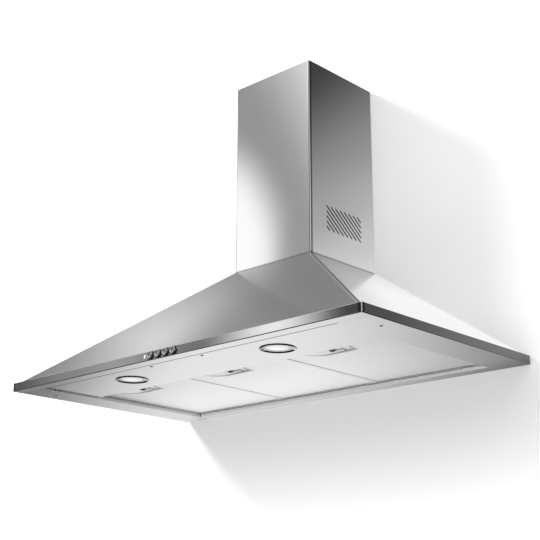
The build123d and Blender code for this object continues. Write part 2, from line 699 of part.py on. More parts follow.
def pocket():
    """Finger pocket whose floor rises from its curved left end to its square right end."""
    front = -FILTER_FRONT + POCKET_RIM
    scoop = Pos(0, 0, FILTER_Z - 1) * extrude(handle_outline(0, front), POCKET_RISE + 1)
    ramp = make_face(Polyline(
        (-POCKET_LEFT - 1, 0, FILTER_Z + POCKET_EDGE), (POCKET_RIGHT + 1, 0, FILTER_Z + POCKET_RISE),
        (POCKET_RIGHT + 1, 0, FILTER_Z + POCKET_RISE + 2), (-POCKET_LEFT - 1, 0, FILTER_Z + POCKET_RISE + 2),
        close=True))
    return scoop - extrude(ramp, DEPTH, dir=(0, -1, 0))


def latch_slot(y0, y1):
    """Stretch of the slot in which the latch slides."""
    half = LATCH_WIDTH / 2 + LATCH_CLEAR
    high = LATCH_FLOOR + LATCH_THICKNESS + 2 * LATCH_CLEAR
    return block(LATCH_X - half, LATCH_X + half, y0, y1, LATCH_FLOOR, high)


def filter_handle():
    """Moulded handle with the finger pocket, the finger hole and the latch slot."""
    front = -FILTER_FRONT
    hole = block(-FINGER_LEFT, FINGER_RIGHT, front + FINGER_FRONT, front + FINGER_BACK,
                 FILTER_Z - 1, FILTER_TOP - 1)
    nose_slot = latch_slot(front - 1, front + FINGER_FRONT + 1)
    tail_slot = latch_slot(front + FINGER_BACK - 1, front + POCKET_DEPTH)
    return handle_room() - pocket() - hole - nose_slot - tail_slot


def filter_latch():
    """Sliding bolt with the finger grip that draws it back."""
    nose = LATCH_WIDTH / 2
    low = LATCH_FLOOR
    high = low + LATCH_THICKNESS
    grip = -FILTER_FRONT + FINGER_BACK - LATCH_TRAVEL - LATCH_CLEAR
    tail = -FILTER_FRONT + POCKET_DEPTH - LATCH_TRAVEL - LATCH_CLEAR
    bolt = block(LATCH_X - nose, LATCH_X + nose, LATCH_TIP_GAP - LAMP_PANEL_REAR, tail, low, high)
    tip = bolt.edges().filter_by(Axis.X).group_by(Axis.Y)[0].sort_by(Axis.Z)[-1]
    bolt = chamfer(tip, LATCH_THICKNESS * LATCH_NOSE)
    bar = block(LATCH_CLEAR - FINGER_LEFT, LATCH_X + nose, grip - GRIP_WALL, grip, low - GRIP_DROP, high)
    return bolt + bar


# ---------------------------------------------------------------- controls
def button_places():
    first = -(BUTTON_COUNT - 1) / 2 * BUTTON_PITCH
    return [first + BUTTON_PITCH * i for i in range(BUTTON_COUNT)]


def indicator_x():
    return button_places()[0] - INDICATOR_SPACING


def indicator_block(grow, y0, y1):
    """Block behind the indicator's outline."""
    half_x = INDICATOR_WIDTH / 2 + grow
    half_z = INDICATOR_HEIGHT / 2 + grow
    x = indicator_x()
    return block(x - half_x, x + half_x, y0, y1, BUTTON_Z - half_z, BUTTON_Z + half_z)


def indicator_window():
    return indicator_block(0, -DEPTH - 1, BUTTON_SEAT + 1 - DEPTH)


def housing_span():
    left = indicator_x() - INDICATOR_WIDTH / 2 - HOUSING_MARGIN
    right = button_places()[-1] + BUTTON_RADIUS + HOUSING_MARGIN
    return left, right


def control_housing():
    """Moulded carrier behind the band that guides the buttons and holds the switch board."""
    left, right = housing_span()
    front = -DEPTH + SHEET
    z0 = SHEET
    z1 = BAND_HEIGHT - SHEET
    box = block(left, right, front, front + HOUSING_DEPTH, z0, z1)
    box -= block(left + HOUSING_WALL, right - HOUSING_WALL, front + HOUSING_WALL,
                 front + HOUSING_DEPTH + 1, z0 - 1, z1 + 1)
    for x in button_places():
        box -= Pos(x, front + HOUSING_WALL + 1, BUTTON_Z) * to_front(
            rod(BUTTON_RADIUS + BUTTON_CLEAR, HOUSING_WALL + 2))
    return box - indicator_window()


def button():
    """Round push button: dished face, chamfered rim, retaining flange and stem."""
    face = BUTTON_PROUD
    r = BUTTON_RADIUS
    rim = r + BUTTON_RIM
    seat = -BUTTON_SEAT
    flange = seat - BUTTON_FLANGE
    stem = flange - STEM_LENGTH
    return to_front(turned([
        (0, face - BUTTON_DISH), (r * 0.55, face - BUTTON_DISH * 0.8), (r * 0.72, face),
        (r - BUTTON_EDGE, face), (r, face - BUTTON_EDGE), (r, seat), (rim, seat), (rim, flange),
        (STEM_RADIUS, flange), (STEM_RADIUS, stem), (0, stem)]))


def switch_board():
    """Circuit board with one push switch behind each button."""
    left, right = housing_span()
    tip = BUTTON_SEAT + BUTTON_FLANGE + STEM_LENGTH + BUTTON_TRAVEL + STEM_GAP - DEPTH
    case = tip + PLUNGER
    board = tip + SWITCH_SIZE
    half = SWITCH_SIZE / 2
    body = block(left + HOUSING_WALL, right - HOUSING_WALL, board, board + BOARD_THICKNESS,
                 SHEET + 1, BAND_HEIGHT - SHEET - 1)
    for x in button_places():
        body += block(x - half, x + half, case, board, BUTTON_Z - half, BUTTON_Z + half)
        body += Pos(x, case, BUTTON_Z) * to_front(rod(PLUNGER, PLUNGER))
    return body


def indicator_lens():
    """Clear light pipe that fills the window beside the buttons."""
    seat = BUTTON_SEAT - DEPTH
    return indicator_block(0, -DEPTH - LENS_PROUD, seat) + indicator_block(1, seat, seat + LENS_STOP)


# ---------------------------------------------------------------- blower
def scroll_outline(inset):
    """Four-centre volute in the YZ plane that opens upward along the wall side."""
    s = SCROLL_STEP
    y1, z1 = WHEEL_Y - s / 2, WHEEL_Z - s / 2
    y2, z2 = WHEEL_Y + s / 2, WHEEL_Z - s / 2
    y3, z3 = WHEEL_Y + s / 2, WHEEL_Z + s / 2
    r1 = SCROLL_RADIUS - inset
    r2 = r1 + s
    r3 = r2 + s
    rear = y3 + r3
    tongue = -SCROLL_REAR - SCROLL_TONGUE + inset
    tongue_z = z1 + sqrt(r1 ** 2 - (tongue - y1) ** 2)
    lip = TONGUE_RADIUS + inset
    lean = cos(radians(45))
    with BuildSketch(Plane.YZ) as sketch:
        with BuildLine():
            Line((tongue, SCROLL_TOP), (tongue, tongue_z))
            ThreePointArc((tongue, tongue_z), (y1 - r1 * lean, z1 + r1 * lean), (y1 - r1, z1))
            ThreePointArc((y2 - r2, z2), (y2 - r2 * lean, z2 - r2 * lean), (y2, z2 - r2))
            ThreePointArc((y3, z3 - r3), (y3 + r3 * lean, z3 - r3 * lean), (rear, z3))
            Line((rear, z3), (rear, SCROLL_TOP))
            Line((rear, SCROLL_TOP), (tongue, SCROLL_TOP))
        make_face()
        corner = [v for v in sketch.vertices() if abs(v.Y - tongue) < 0.01 and abs(v.Z - tongue_z) < 0.01]
        fillet(corner, lip)
    return sketch.sketch


def outlet_rim(grow, z0, z1):
    """Rectangle round the volute's outlet."""
    half = SCROLL_WIDTH / 2 + grow
    return block(-half, half, -SCROLL_REAR - SCROLL_TONGUE - grow, -SCROLL_REAR + grow, z0, z1)


def blower_scroll():
    """Rolled volute wall with the flange that hangs from the support frame."""
    half = SCROLL_WIDTH / 2
    wall = Pos(-half, 0, 0) * extrude(scroll_outline(0), SCROLL_WIDTH)
    room = Pos(-half - 1, 0, 0) * extrude(scroll_outline(SCROLL_SHEET), SCROLL_WIDTH + 2)
    flange = outlet_rim(SCROLL_FLANGE, SCROLL_TOP - SCROLL_SHEET, SCROLL_TOP)
    flange -= outlet_rim(0, SCROLL_TOP - 2 * SCROLL_SHEET, SCROLL_TOP + 1)
    return wall - room + flange


def bell_mouth():
    """Rounded inlet ring, turned about Z, its lip pointing to -Z."""
    r = INLET_RADIUS
    t = SCROLL_SHEET
    lip = INLET_LIP
    lean = cos(radians(45))
    bend = (r + lip * (1 - lean), -lip * lean)
    return turned([
        (r + lip, 0), (r + lip, t), (r + lip * 0.45, t - 0.4), bend, (r, -lip), (r + t, -lip),
        (bend[0] + t, bend[1])])


def blower_side():
    """Right side plate with its bell-mouth inlet."""
    half = SCROLL_WIDTH / 2
    plate = Pos(half, 0, 0) * extrude(scroll_outline(0), SCROLL_SHEET)
    plate -= rod_x(INLET_RADIUS + INLET_LIP - 0.5, half - 1, half + 3, WHEEL_Y, WHEEL_Z)
    plate -= outlet_rim(SCROLL_FLANGE + 1, SCROLL_TOP - SCROLL_SHEET, SCROLL_TOP + 1)
    return plate + Pos(half, WHEEL_Y, WHEEL_Z) * along_x(bell_mouth())


def blade():
    """Crescent section of one forward-curved blade, from the inner to the outer radius."""
    turn = radians(BLADE_SWEEP)
    inner = (WHEEL_INNER_RADIUS, 0)
    outer = ((WHEEL_RADIUS - 0.6) * cos(turn), (WHEEL_RADIUS - 0.6) * sin(turn))
    middle = ((inner[0] + outer[0]) / 2, (inner[1] + outer[1]) / 2)
    span = hypot(outer[0] - inner[0], outer[1] - inner[1])
    across = ((outer[1] - inner[1]) / span, (inner[0] - outer[0]) / span)
    deep = [middle[i] + across[i] * BLADE_CAMBER for i in (0, 1)]
    shallow = [middle[i] + across[i] * (BLADE_CAMBER - BLADE_THICKNESS) for i in (0, 1)]
    return make_face(ThreePointArc(inner, tuple(deep), outer) + ThreePointArc(outer, tuple(shallow), inner))


def impeller():
    """Double-inlet wheel: blades between two end rings and a middle disc with a hub."""
    half = WHEEL_WIDTH / 2
    blades = [Rot(0, 0, 360 / BLADE_COUNT * i) * blade() for i in range(BLADE_COUNT)]
    body = Pos(0, 0, -half + WHEEL_RING / 2) * extrude(Sketch() + blades, WHEEL_WIDTH - WHEEL_RING)
    ring = Circle(WHEEL_RADIUS) - Circle(WHEEL_INNER_RADIUS)
    for z in (-half, half - WHEEL_RING):
        body += Pos(0, 0, z) * extrude(ring, WHEEL_RING)
    disc = turned([
        (SHAFT_RADIUS, -HUB_BACK), (HUB_RADIUS, -HUB_BACK), (HUB_RADIUS, -WHEEL_RING / 2),
        (WHEEL_RADIUS, -WHEEL_RING / 2), (WHEEL_RADIUS, WHEEL_RING / 2), (HUB_RADIUS, WHEEL_RING / 2),
        (HUB_RADIUS, HUB_FRONT), (SHAFT_RADIUS, HUB_FRONT)])
    return Pos(0, WHEEL_Y, WHEEL_Z) * along_x(body + disc)


def motor_span():
    """Ends of the motor can along X: it lies inside the left half of the wheel."""
    outer = -SCROLL_WIDTH / 2 + MOTOR_INSET
    return outer, outer + MOTOR_LENGTH


def motor():
    """Finned motor can with a bore for its shaft."""
    x0, x1 = motor_span()
    length = x1 - x0
    wall = MOTOR_RADIUS - FIN_ROOT
    bore = SHAFT_RADIUS + SHAFT_CLEAR
    face = length - BEARING_LENGTH
    can = turned([
        (bore, 0), (wall - MOTOR_CHAMFER, 0), (wall, MOTOR_CHAMFER), (wall, length - MOTOR_CROWN),
        (wall - MOTOR_CROWN, face), (BEARING_RADIUS, face), (BEARING_RADIUS, length), (bore, length)])
    for i in range(MOTOR_FINS):
        fin = Pos(MOTOR_RADIUS - FIN_HEIGHT / 2, 0, (FIN_START + length - FIN_STOP) / 2) * Box(
            FIN_HEIGHT, FIN_WIDTH, length - FIN_START - FIN_STOP)
        can += Rot(0, 0, 360 / MOTOR_FINS * i) * fin
    return Pos(x0, WHEEL_Y, WHEEL_Z) * along_x(can)


def motor_shaft():
    x0, x1 = motor_span()
    return rod_x(SHAFT_RADIUS, x0 + SHAFT_INSET, HUB_FRONT + SHAFT_PROUD, WHEEL_Y, WHEEL_Z)


def motor_bracket():
    """Spider that carries the motor from the left inlet ring."""
    half = SCROLL_WIDTH / 2
    x0, x1 = motor_span()
    outside = half + SCROLL_SHEET
    reach = INLET_RADIUS + INLET_LIP + MOTOR_ARM_REACH
    hub_radius = MOTOR_RADIUS - MOTOR_HUB_STEP
    hub_bore = hub_radius - MOTOR_HUB_WALL
    body = Circle(hub_radius)
    for i in range(MOTOR_ARM_COUNT):
        arm = Pos(reach / 2, 0) * Rectangle(reach, MOTOR_ARM_WIDTH)
        body += Rot(0, 0, 90 + 360 / MOTOR_ARM_COUNT * i) * arm
    body -= Circle(SHAFT_RADIUS + MOTOR_HOLE_CLEAR)
    plate = Pos(0, 0, -outside - MOTOR_PLATE) * extrude(body, MOTOR_PLATE)
    hub = turned([(hub_bore, -outside), (hub_radius, -outside), (hub_radius, x0), (hub_bore, x0)])
    return Pos(0, WHEEL_Y, WHEEL_Z) * along_x(plate + hub)


def capacitor():
    """Run capacitor strapped against the right side plate, above the inlet."""
    x = SCROLL_WIDTH / 2 + SCROLL_SHEET
    y = WHEEL_Y + INLET_RADIUS * CAPACITOR_SHARE
    z = WHEEL_Z + INLET_RADIUS + INLET_LIP + CAPACITOR_RADIUS + CAPACITOR_GAP
    r = CAPACITOR_RADIUS
    can = turned([
        (0, 0), (r - CAPACITOR_BASE, 0), (r, CAPACITOR_BASE), (r, CAPACITOR_LENGTH - CAPACITOR_NECK),
        (r - CAPACITOR_NECK, CAPACITOR_LENGTH), (0, CAPACITOR_LENGTH)])
    return Pos(x + CAPACITOR_RADIUS, y - CAPACITOR_LENGTH / 2, z) * Rot(-90, 0, 0) * can


# ---------------------------------------------------------------- support frame, collar and damper
def support_frame():
    """Ring wedged inside the top of the slopes: the blower hangs from it."""
    z0 = SCROLL_TOP
    z1 = SCROLL_TOP + SUPPORT_SHEET
    ring = pyramid(z0, z1, SIDE_OFFSET, FRONT_OFFSET)
    ring &= block(-HALF, HALF, -DEPTH, -SHEET, z0, z1)
    ring -= outlet_rim(-SCROLL_SHEET, z0 - 1, z1 + 1)
    return ring - Pos(GLAND_X, GLAND_Y, z0 - 1) * rod(CABLE_HOLE_RADIUS, SUPPORT_SHEET + 2)


def transition(inset, z0, z1):
    """Square-to-round solid from the volute's outlet up to the spigot."""
    base = RectangleRounded(SCROLL_WIDTH - 2 * inset, SCROLL_TONGUE - 2 * inset, COLLAR_CORNER - inset)
    mouth = Circle(COLLAR_RADIUS - inset)
    return loft([Pos(0, CENTRE_Y, z0) * base, Pos(0, CENTRE_Y, z1) * mouth], ruled=True)


def duct_collar():
    """Square-to-round adapter with a spigot and the ledge that the damper closes on."""
    z0 = COLLAR_BASE
    z1 = z0 + COLLAR_TRANSITION
    flange = outlet_rim(COLLAR_FLANGE, z0, z0 + COLLAR_FLANGE_THICKNESS)
    body = flange + transition(0, z0, z1) - transition(COLLAR_WALL, z0, z1)
    bore = COLLAR_RADIUS - COLLAR_WALL
    tube = rod(COLLAR_RADIUS, COLLAR_LENGTH) - rod(bore, COLLAR_LENGTH)
    ledge = rod(bore, DAMPER_STOP) - rod(bore - DAMPER_STOP, DAMPER_STOP)
    body += Pos(0, CENTRE_Y, z1) * tube
    body += Pos(0, CENTRE_Y, DAMPER_Z - DAMPER_THICKNESS / 2 - DAMPER_STOP) * ledge
    return body - rod_x(DAMPER_PIN_RADIUS, -COLLAR_RADIUS - 1, COLLAR_RADIUS + 1, CENTRE_Y, DAMPER_Z)


def damper_pin():
    reach = sqrt(COLLAR_RADIUS ** 2 - DAMPER_PIN_RADIUS ** 2) - 0.2
    return rod_x(DAMPER_PIN_RADIUS, -reach, reach, CENTRE_Y, DAMPER_Z)


def knuckle_starts(which):
    """Left ends of the knuckles of one flap along the pin."""
    step = DAMPER_KNUCKLE_LENGTH + DAMPER_KNUCKLE_GAP
    first = -DAMPER_KNUCKLE_COUNT * step + which * step + DAMPER_KNUCKLE_GAP / 2
    return [first + 2 * step * i for i in range(DAMPER_KNUCKLE_COUNT)]


def damper_flap(which):
    """Half-round flap on interleaved knuckles: 0 is the front flap, 1 the rear one."""
    side = -1 if which == 0 else 1
    radius = COLLAR_RADIUS - COLLAR_WALL - DAMPER_GAP
    plate = Pos(0, 0, -DAMPER_THICKNESS / 2) * rod(radius, DAMPER_THICKNESS)
    keep = DAMPER_KNUCKLE_RADIUS + DAMPER_GAP
    plate &= block(-radius, radius, side * keep, side * (radius + 1), -DAMPER_THICKNESS, DAMPER_THICKNESS)
    for x in knuckle_starts(which):
        plate += block(x, x + DAMPER_KNUCKLE_LENGTH, 0, side * (keep + 1),
                       -DAMPER_THICKNESS / 2, DAMPER_THICKNESS / 2)
        plate += rod_x(DAMPER_KNUCKLE_RADIUS, x, x + DAMPER_KNUCKLE_LENGTH, 0, 0)
    plate -= rod_x(DAMPER_PIN_RADIUS + DAMPER_PIN_CLEAR, -radius, radius, 0, 0)
    return Pos(0, CENTRE_Y, DAMPER_Z) * plate


# ---------------------------------------------------------------- electrics
def junction_box():
    """Terminal box on the back panel, open to the front."""
    wide, deep, high = JUNCTION_SIZE
    x0 = JUNCTION_X - wide / 2
    z0 = JUNCTION_Z - high / 2
    wall = JUNCTION_WALL
    box = block(x0, x0 + wide, -SHEET - deep, -SHEET, z0, z0 + high)
    room = block(x0 + wall, x0 + wide - wall, -SHEET - deep - 1, -SHEET - wall, z0 + wall, z0 + high - wall)
    length, height, width = TERMINAL_SIZE
    terminals = block(JUNCTION_X - length / 2, JUNCTION_X + length / 2, -SHEET - wall - height, -SHEET - wall,
                      JUNCTION_Z - width / 2, JUNCTION_Z + width / 2)
    gland = Pos(GLAND_X, GLAND_Y, z0 + high - wall - 1) * rod(GLAND_RADIUS - 2, wall + 2)
    return box - room + terminals - gland


def junction_lid():
    wide, deep, high = JUNCTION_SIZE
    y = -SHEET - deep
    lid = block(JUNCTION_X - wide / 2, JUNCTION_X + wide / 2, y - JUNCTION_WALL, y,
                JUNCTION_Z - high / 2, JUNCTION_Z + high / 2)
    return fillet(lid.edges().filter_by(Axis.Y), 3)


def cable_gland():
    """Hexagonal inlet gland on top of the terminal box; no lead is fitted."""
    top = JUNCTION_Z + JUNCTION_SIZE[2] / 2
    r = GLAND_RADIUS
    body = extrude(RegularPolygon(r + 1.5, 6), GLAND_NUT)
    body += Pos(0, 0, GLAND_NUT) * turned([(0, 0), (r - 1, 0), (r - 1, 5), (r - 3, 9), (0, 9)])
    body += Pos(0, 0, -JUNCTION_WALL - 1) * rod(r - 2, JUNCTION_WALL + 2)
    body -= Pos(0, 0, -10) * rod(GLAND_BORE, 40)
    return Pos(GLAND_X, GLAND_Y, top) * body


def lamp_transformer():
    """Electronic transformer on top of the lamp panel."""
    wide, deep, high = TRANSFORMER_SIZE
    z = LAMP_PANEL_Z + SHEET
    case = block(-wide / 2, wide / 2, -LAMP_Y - deep / 2, -LAMP_Y + deep / 2, z, z + high)
    case = fillet(case.edges().filter_by(Axis.Z), 3)
    reach = wide / 2 + EAR_LENGTH
    return case + block(-reach, reach, -LAMP_Y - 8, -LAMP_Y + 8, z, z + 2)


# ---------------------------------------------------------------- write the parts
def main():
    os.makedirs("parts", exist_ok=True)
    shell = canopy_shell()
    right = canopy_side(shell)
    save("canopy_front", canopy_front(shell))
    save("canopy_right", right)
    save("canopy_left", mirrored(right))
    save("back_panel", back_panel())
    save("wall_hangers", *wall_hangers())
    save("lower_chimney", lower_chimney())
    save("upper_chimney", upper_chimney())
    save("lower_bracket", lower_bracket())
    save("upper_bracket", upper_bracket())
    save("lamp_panel", lamp_panel())
    save("wire_channel", wire_channel())
    save("underside_screws", *underside_screws())
    for name, x in zip(("left", "right"), lamp_places()):
        place = Pos(x, -LAMP_Y, 0)
        save(f"lamp_{name}_ring", place * lamp_ring())
        save(f"lamp_{name}_lens", place * lamp_lens())
        save(f"lamp_{name}_can", place * lamp_can())
        save(f"lamp_{name}_bulb", place * lamp_bulb())
    for i, name in enumerate(("left", "middle", "right")):
        place = Pos((i - (FILTER_COUNT - 1) / 2) * FILTER_PITCH, 0, 0)
        save(f"filter_{name}_frame", place * filter_frame())
        save(f"filter_{name}_mesh", *[place * layer for layer in filter_mesh()])
        save(f"filter_{name}_handle", place * filter_handle())
        save(f"filter_{name}_latch", place * filter_latch())
    save("control_housing", control_housing())
    save("switch_board", switch_board())
    save("indicator_lens", indicator_lens())
    for i, x in enumerate(button_places()):
        save(f"button_{i + 1}", Pos(x, -DEPTH, BUTTON_Z) * button())
    save("blower_scroll", blower_scroll())
    side = blower_side()
    save("blower_side_right", side)
    save("blower_side_left", mirrored(side))
    save("impeller", impeller())
    save("motor", motor())
    save("motor_shaft", motor_shaft())
    save("motor_bracket", motor_bracket())
    save("capacitor", capacitor())
    save("support_frame", support_frame())
    save("duct_collar", duct_collar())
    save("damper_pin", damper_pin())
    save("damper_flap_front", damper_flap(0))
    save("damper_flap_rear", damper_flap(1))
    save("junction_box", junction_box())
    save("junction_box_lid", junction_lid())
    save("cable_gland", cable_gland())
    save("lamp_transformer", lamp_transformer())


main()
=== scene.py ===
import json
from math import cos, pi, radians, sin

import bmesh
import bpy
from bpy.props import FloatProperty, FloatVectorProperty, PointerProperty
from bpy.types import Operator, Panel, PropertyGroup
from mathutils import Matrix, Vector


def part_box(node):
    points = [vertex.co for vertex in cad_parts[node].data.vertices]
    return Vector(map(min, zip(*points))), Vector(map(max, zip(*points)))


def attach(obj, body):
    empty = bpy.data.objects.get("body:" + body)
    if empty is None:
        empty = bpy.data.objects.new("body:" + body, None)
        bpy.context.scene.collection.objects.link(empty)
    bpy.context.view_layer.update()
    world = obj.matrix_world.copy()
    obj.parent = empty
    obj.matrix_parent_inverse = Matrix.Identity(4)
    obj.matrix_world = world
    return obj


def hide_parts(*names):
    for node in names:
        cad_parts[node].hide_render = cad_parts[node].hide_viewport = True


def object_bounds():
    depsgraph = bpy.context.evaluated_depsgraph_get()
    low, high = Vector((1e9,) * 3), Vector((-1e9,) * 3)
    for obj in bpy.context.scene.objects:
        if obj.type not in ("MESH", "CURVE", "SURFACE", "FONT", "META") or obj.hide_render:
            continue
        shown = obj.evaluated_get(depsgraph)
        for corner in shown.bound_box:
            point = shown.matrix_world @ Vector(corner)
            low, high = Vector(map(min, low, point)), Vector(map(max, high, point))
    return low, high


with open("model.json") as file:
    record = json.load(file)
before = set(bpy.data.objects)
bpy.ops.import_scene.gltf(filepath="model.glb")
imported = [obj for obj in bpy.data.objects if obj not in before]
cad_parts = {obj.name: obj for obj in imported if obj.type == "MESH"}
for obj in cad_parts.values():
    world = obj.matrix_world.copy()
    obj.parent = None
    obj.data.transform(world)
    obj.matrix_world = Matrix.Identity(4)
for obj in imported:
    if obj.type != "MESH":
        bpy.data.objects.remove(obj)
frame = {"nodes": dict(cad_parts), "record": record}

bl_info = {
    "name": "Chimney range hood",
    "version": (1, 0, 0),
    "blender": (4, 5, 0),
    "location": "View3D > Sidebar > Range hood",
    "description": "Finishes, lamps, buttons and studio for a stainless steel chimney hood",
    "category": "Object",
}

# The factory objects go before the first measurement, so that it is the CAD box.
for spare in ("Cube", "Light", "Camera"):
    if spare in bpy.data.objects:
        bpy.data.objects.remove(bpy.data.objects[spare])

CAD_LOW, CAD_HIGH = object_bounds()
NODES = frame["nodes"]
LAMP_SIDES = ("left", "right")
BUTTON_COUNT = 4
# Seats of the four screws: two in the lamp panel, one in each side flange.
SCREW_SEATS = (
    (-0.07715, -0.4440, -0.1726),
    (0.05655, -0.4440, -0.1726),
    (-0.4199, -0.4012, -0.1750),
    (0.4199, -0.4012, -0.1750),
)


# ---------------- sizes and colours
class HoodSteel(PropertyGroup):
    """Brushed stainless steel of the canopy and the chimney."""

    tint: FloatVectorProperty(
        name="Steel tint", description="Colour of the brushed steel",
        subtype="COLOR", size=3, min=0.0, max=1.0, default=(0.620, 0.620, 0.618),
    )
    roughness: FloatProperty(
        name="Roughness", description="How far the brushed surface blurs a reflection",
        min=0.02, max=1.0, default=0.12,
    )
    grain: FloatProperty(
        name="Grain", description="Strength of the brushing lines",
        min=0.0, max=1.0, default=0.35,
    )
    # Reach of the painted shade that ambient occlusion puts beside seams and in creases.
    seam_shade_reach: FloatProperty(
        name="Seam reach", description="Width of the darker strip beside a seam or joint",
        unit="LENGTH", min=0.0005, max=0.03, default=0.005,
    )


class HoodLamps(PropertyGroup):
    """The two lamps under the front edge."""

    glow: FloatProperty(
        name="Glow", description="Strength of the light in the frosted glass",
        min=0.0, max=5.0, default=0.20,
    )
    lip: FloatProperty(
        name="Lip rounding", description="Radius of the bezel's outer edge",
        unit="LENGTH", min=0.0002, max=0.0013, default=0.0010,
    )
    lens_sag: FloatProperty(
        name="Lens sag", description="How far the middle of the lens hangs below the edge of its face",
        unit="LENGTH", min=0.0, max=0.0008, default=0.0004,
    )
    lens_reach: FloatProperty(
        name="Lens reach",
        description="How far the edge of the lens's face reaches down the bezel's throat",
        unit="LENGTH", min=0.0, max=0.003, default=0.0016,
    )


class HoodControls(PropertyGroup):
    """The row of push buttons."""

    dish: FloatProperty(
        name="Dish depth", description="How far the button's face is hollowed",
        unit="LENGTH", min=0.0, max=0.002, default=0.0009,
    )
    mark_colour: FloatVectorProperty(
        name="Mark colour", description="Colour of the filled marks",
        subtype="COLOR", size=3, min=0.0, max=1.0, default=(0.03, 0.03, 0.03),
    )


class HoodScrews(PropertyGroup):
    """The four screws under the panel and the flanges."""

    slot_width: FloatProperty(
        name="Cross width", description="Width of the cross recess's arms",
        unit="LENGTH", min=0.0002, max=0.0012, default=0.0007,
    )
    slot_depth: FloatProperty(
        name="Cross depth", description="Depth of the cross recess",
        unit="LENGTH", min=0.0001, max=0.0007, default=0.0005,
    )


class HoodStage(PropertyGroup):
    """Wall, floor and lights."""

    shade_level: FloatProperty(
        name="Wall in shade",
        description="Own brightness of the wall beside the chimney, which lifts the shadow there",
        min=0.0, max=2.0, default=0.30,
    )
    wall_albedo: FloatProperty(
        name="Wall paint", description="Share of the light that the wall's paint gives back",
        min=0.0, max=1.0, default=0.85,
    )
    key_power: FloatProperty(
        name="Key light", description="Power of the lamp at the upper left",
        unit="POWER", min=0.0, max=2000.0, default=130.0,
    )
    floor_height: FloatProperty(
        name="Floor height", description="Height of the floor below the wall holes",
        unit="LENGTH", min=-3.0, max=-0.4, default=-1.6,
    )


# ---------------- places
# Where a noise texture's values mostly lie.
CLOUDY = (0.3, 0.7)
# Stretch of the brushing lines along and across the metal.
GRAIN_ALONG, GRAIN_ACROSS = 7.0, 1500.0

# Places that the finishes follow, in metres from the wall holes.
CHIMNEY_SIDE = 0.1035
CHIMNEY_FOOT = 0.066
CHIMNEY_AXIS_Y = -0.1
# Strip behind the chimney's front bend where a dark line of painted shade goes.
CHIMNEY_BEND_SHADE = (-0.1960, -0.1950)
# Axis, middle and half length of the zone of the vent slots.
VENT_ZONE = (("Y", -0.095, 0.065), ("Z", 0.153, 0.035))
BAND_TOP, BAND_FOOT = -0.157, -0.1745
# Plan of both hips: |x| times the first plus y times the second plus the third is 0 on them.
HIP = (0.6348, 0.7727, 0.0904)
# Just above the lower face of the flanges.
FLANGE_FACE = -0.1738
# Painted shade: brightness of the left flange beside the right one's.
LEFT_FLANGE_SHADE = 0.72
# Shade that the return strip throws on the lamp panel, from dark to none.
STRIP_SHADE = (-0.4532, -0.4512)
RIGHT_LAMP = sum(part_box("lamp_right_ring"), Vector()) / 2
# Direction in plan across a bezel, from its end with painted shade, and where that painted shade ends along
# it.
BEZEL_TURN = (0.733, 0.680)
BEZEL_PAINTED_SHADE = (-0.0270, -0.0225)
# Width and length of an opening in the filters' mesh.
MESH_PITCH = (0.0021, 0.0014)
FILTER_PITCH = (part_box("filter_right_handle")[0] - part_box("filter_middle_handle")[0]).x


# ---------------- node trees
VECTOR, FLOAT = "NodeSocketVector", "NodeSocketFloat"
# Shader node groups, made once and used by several materials.
EFFECTS = {}


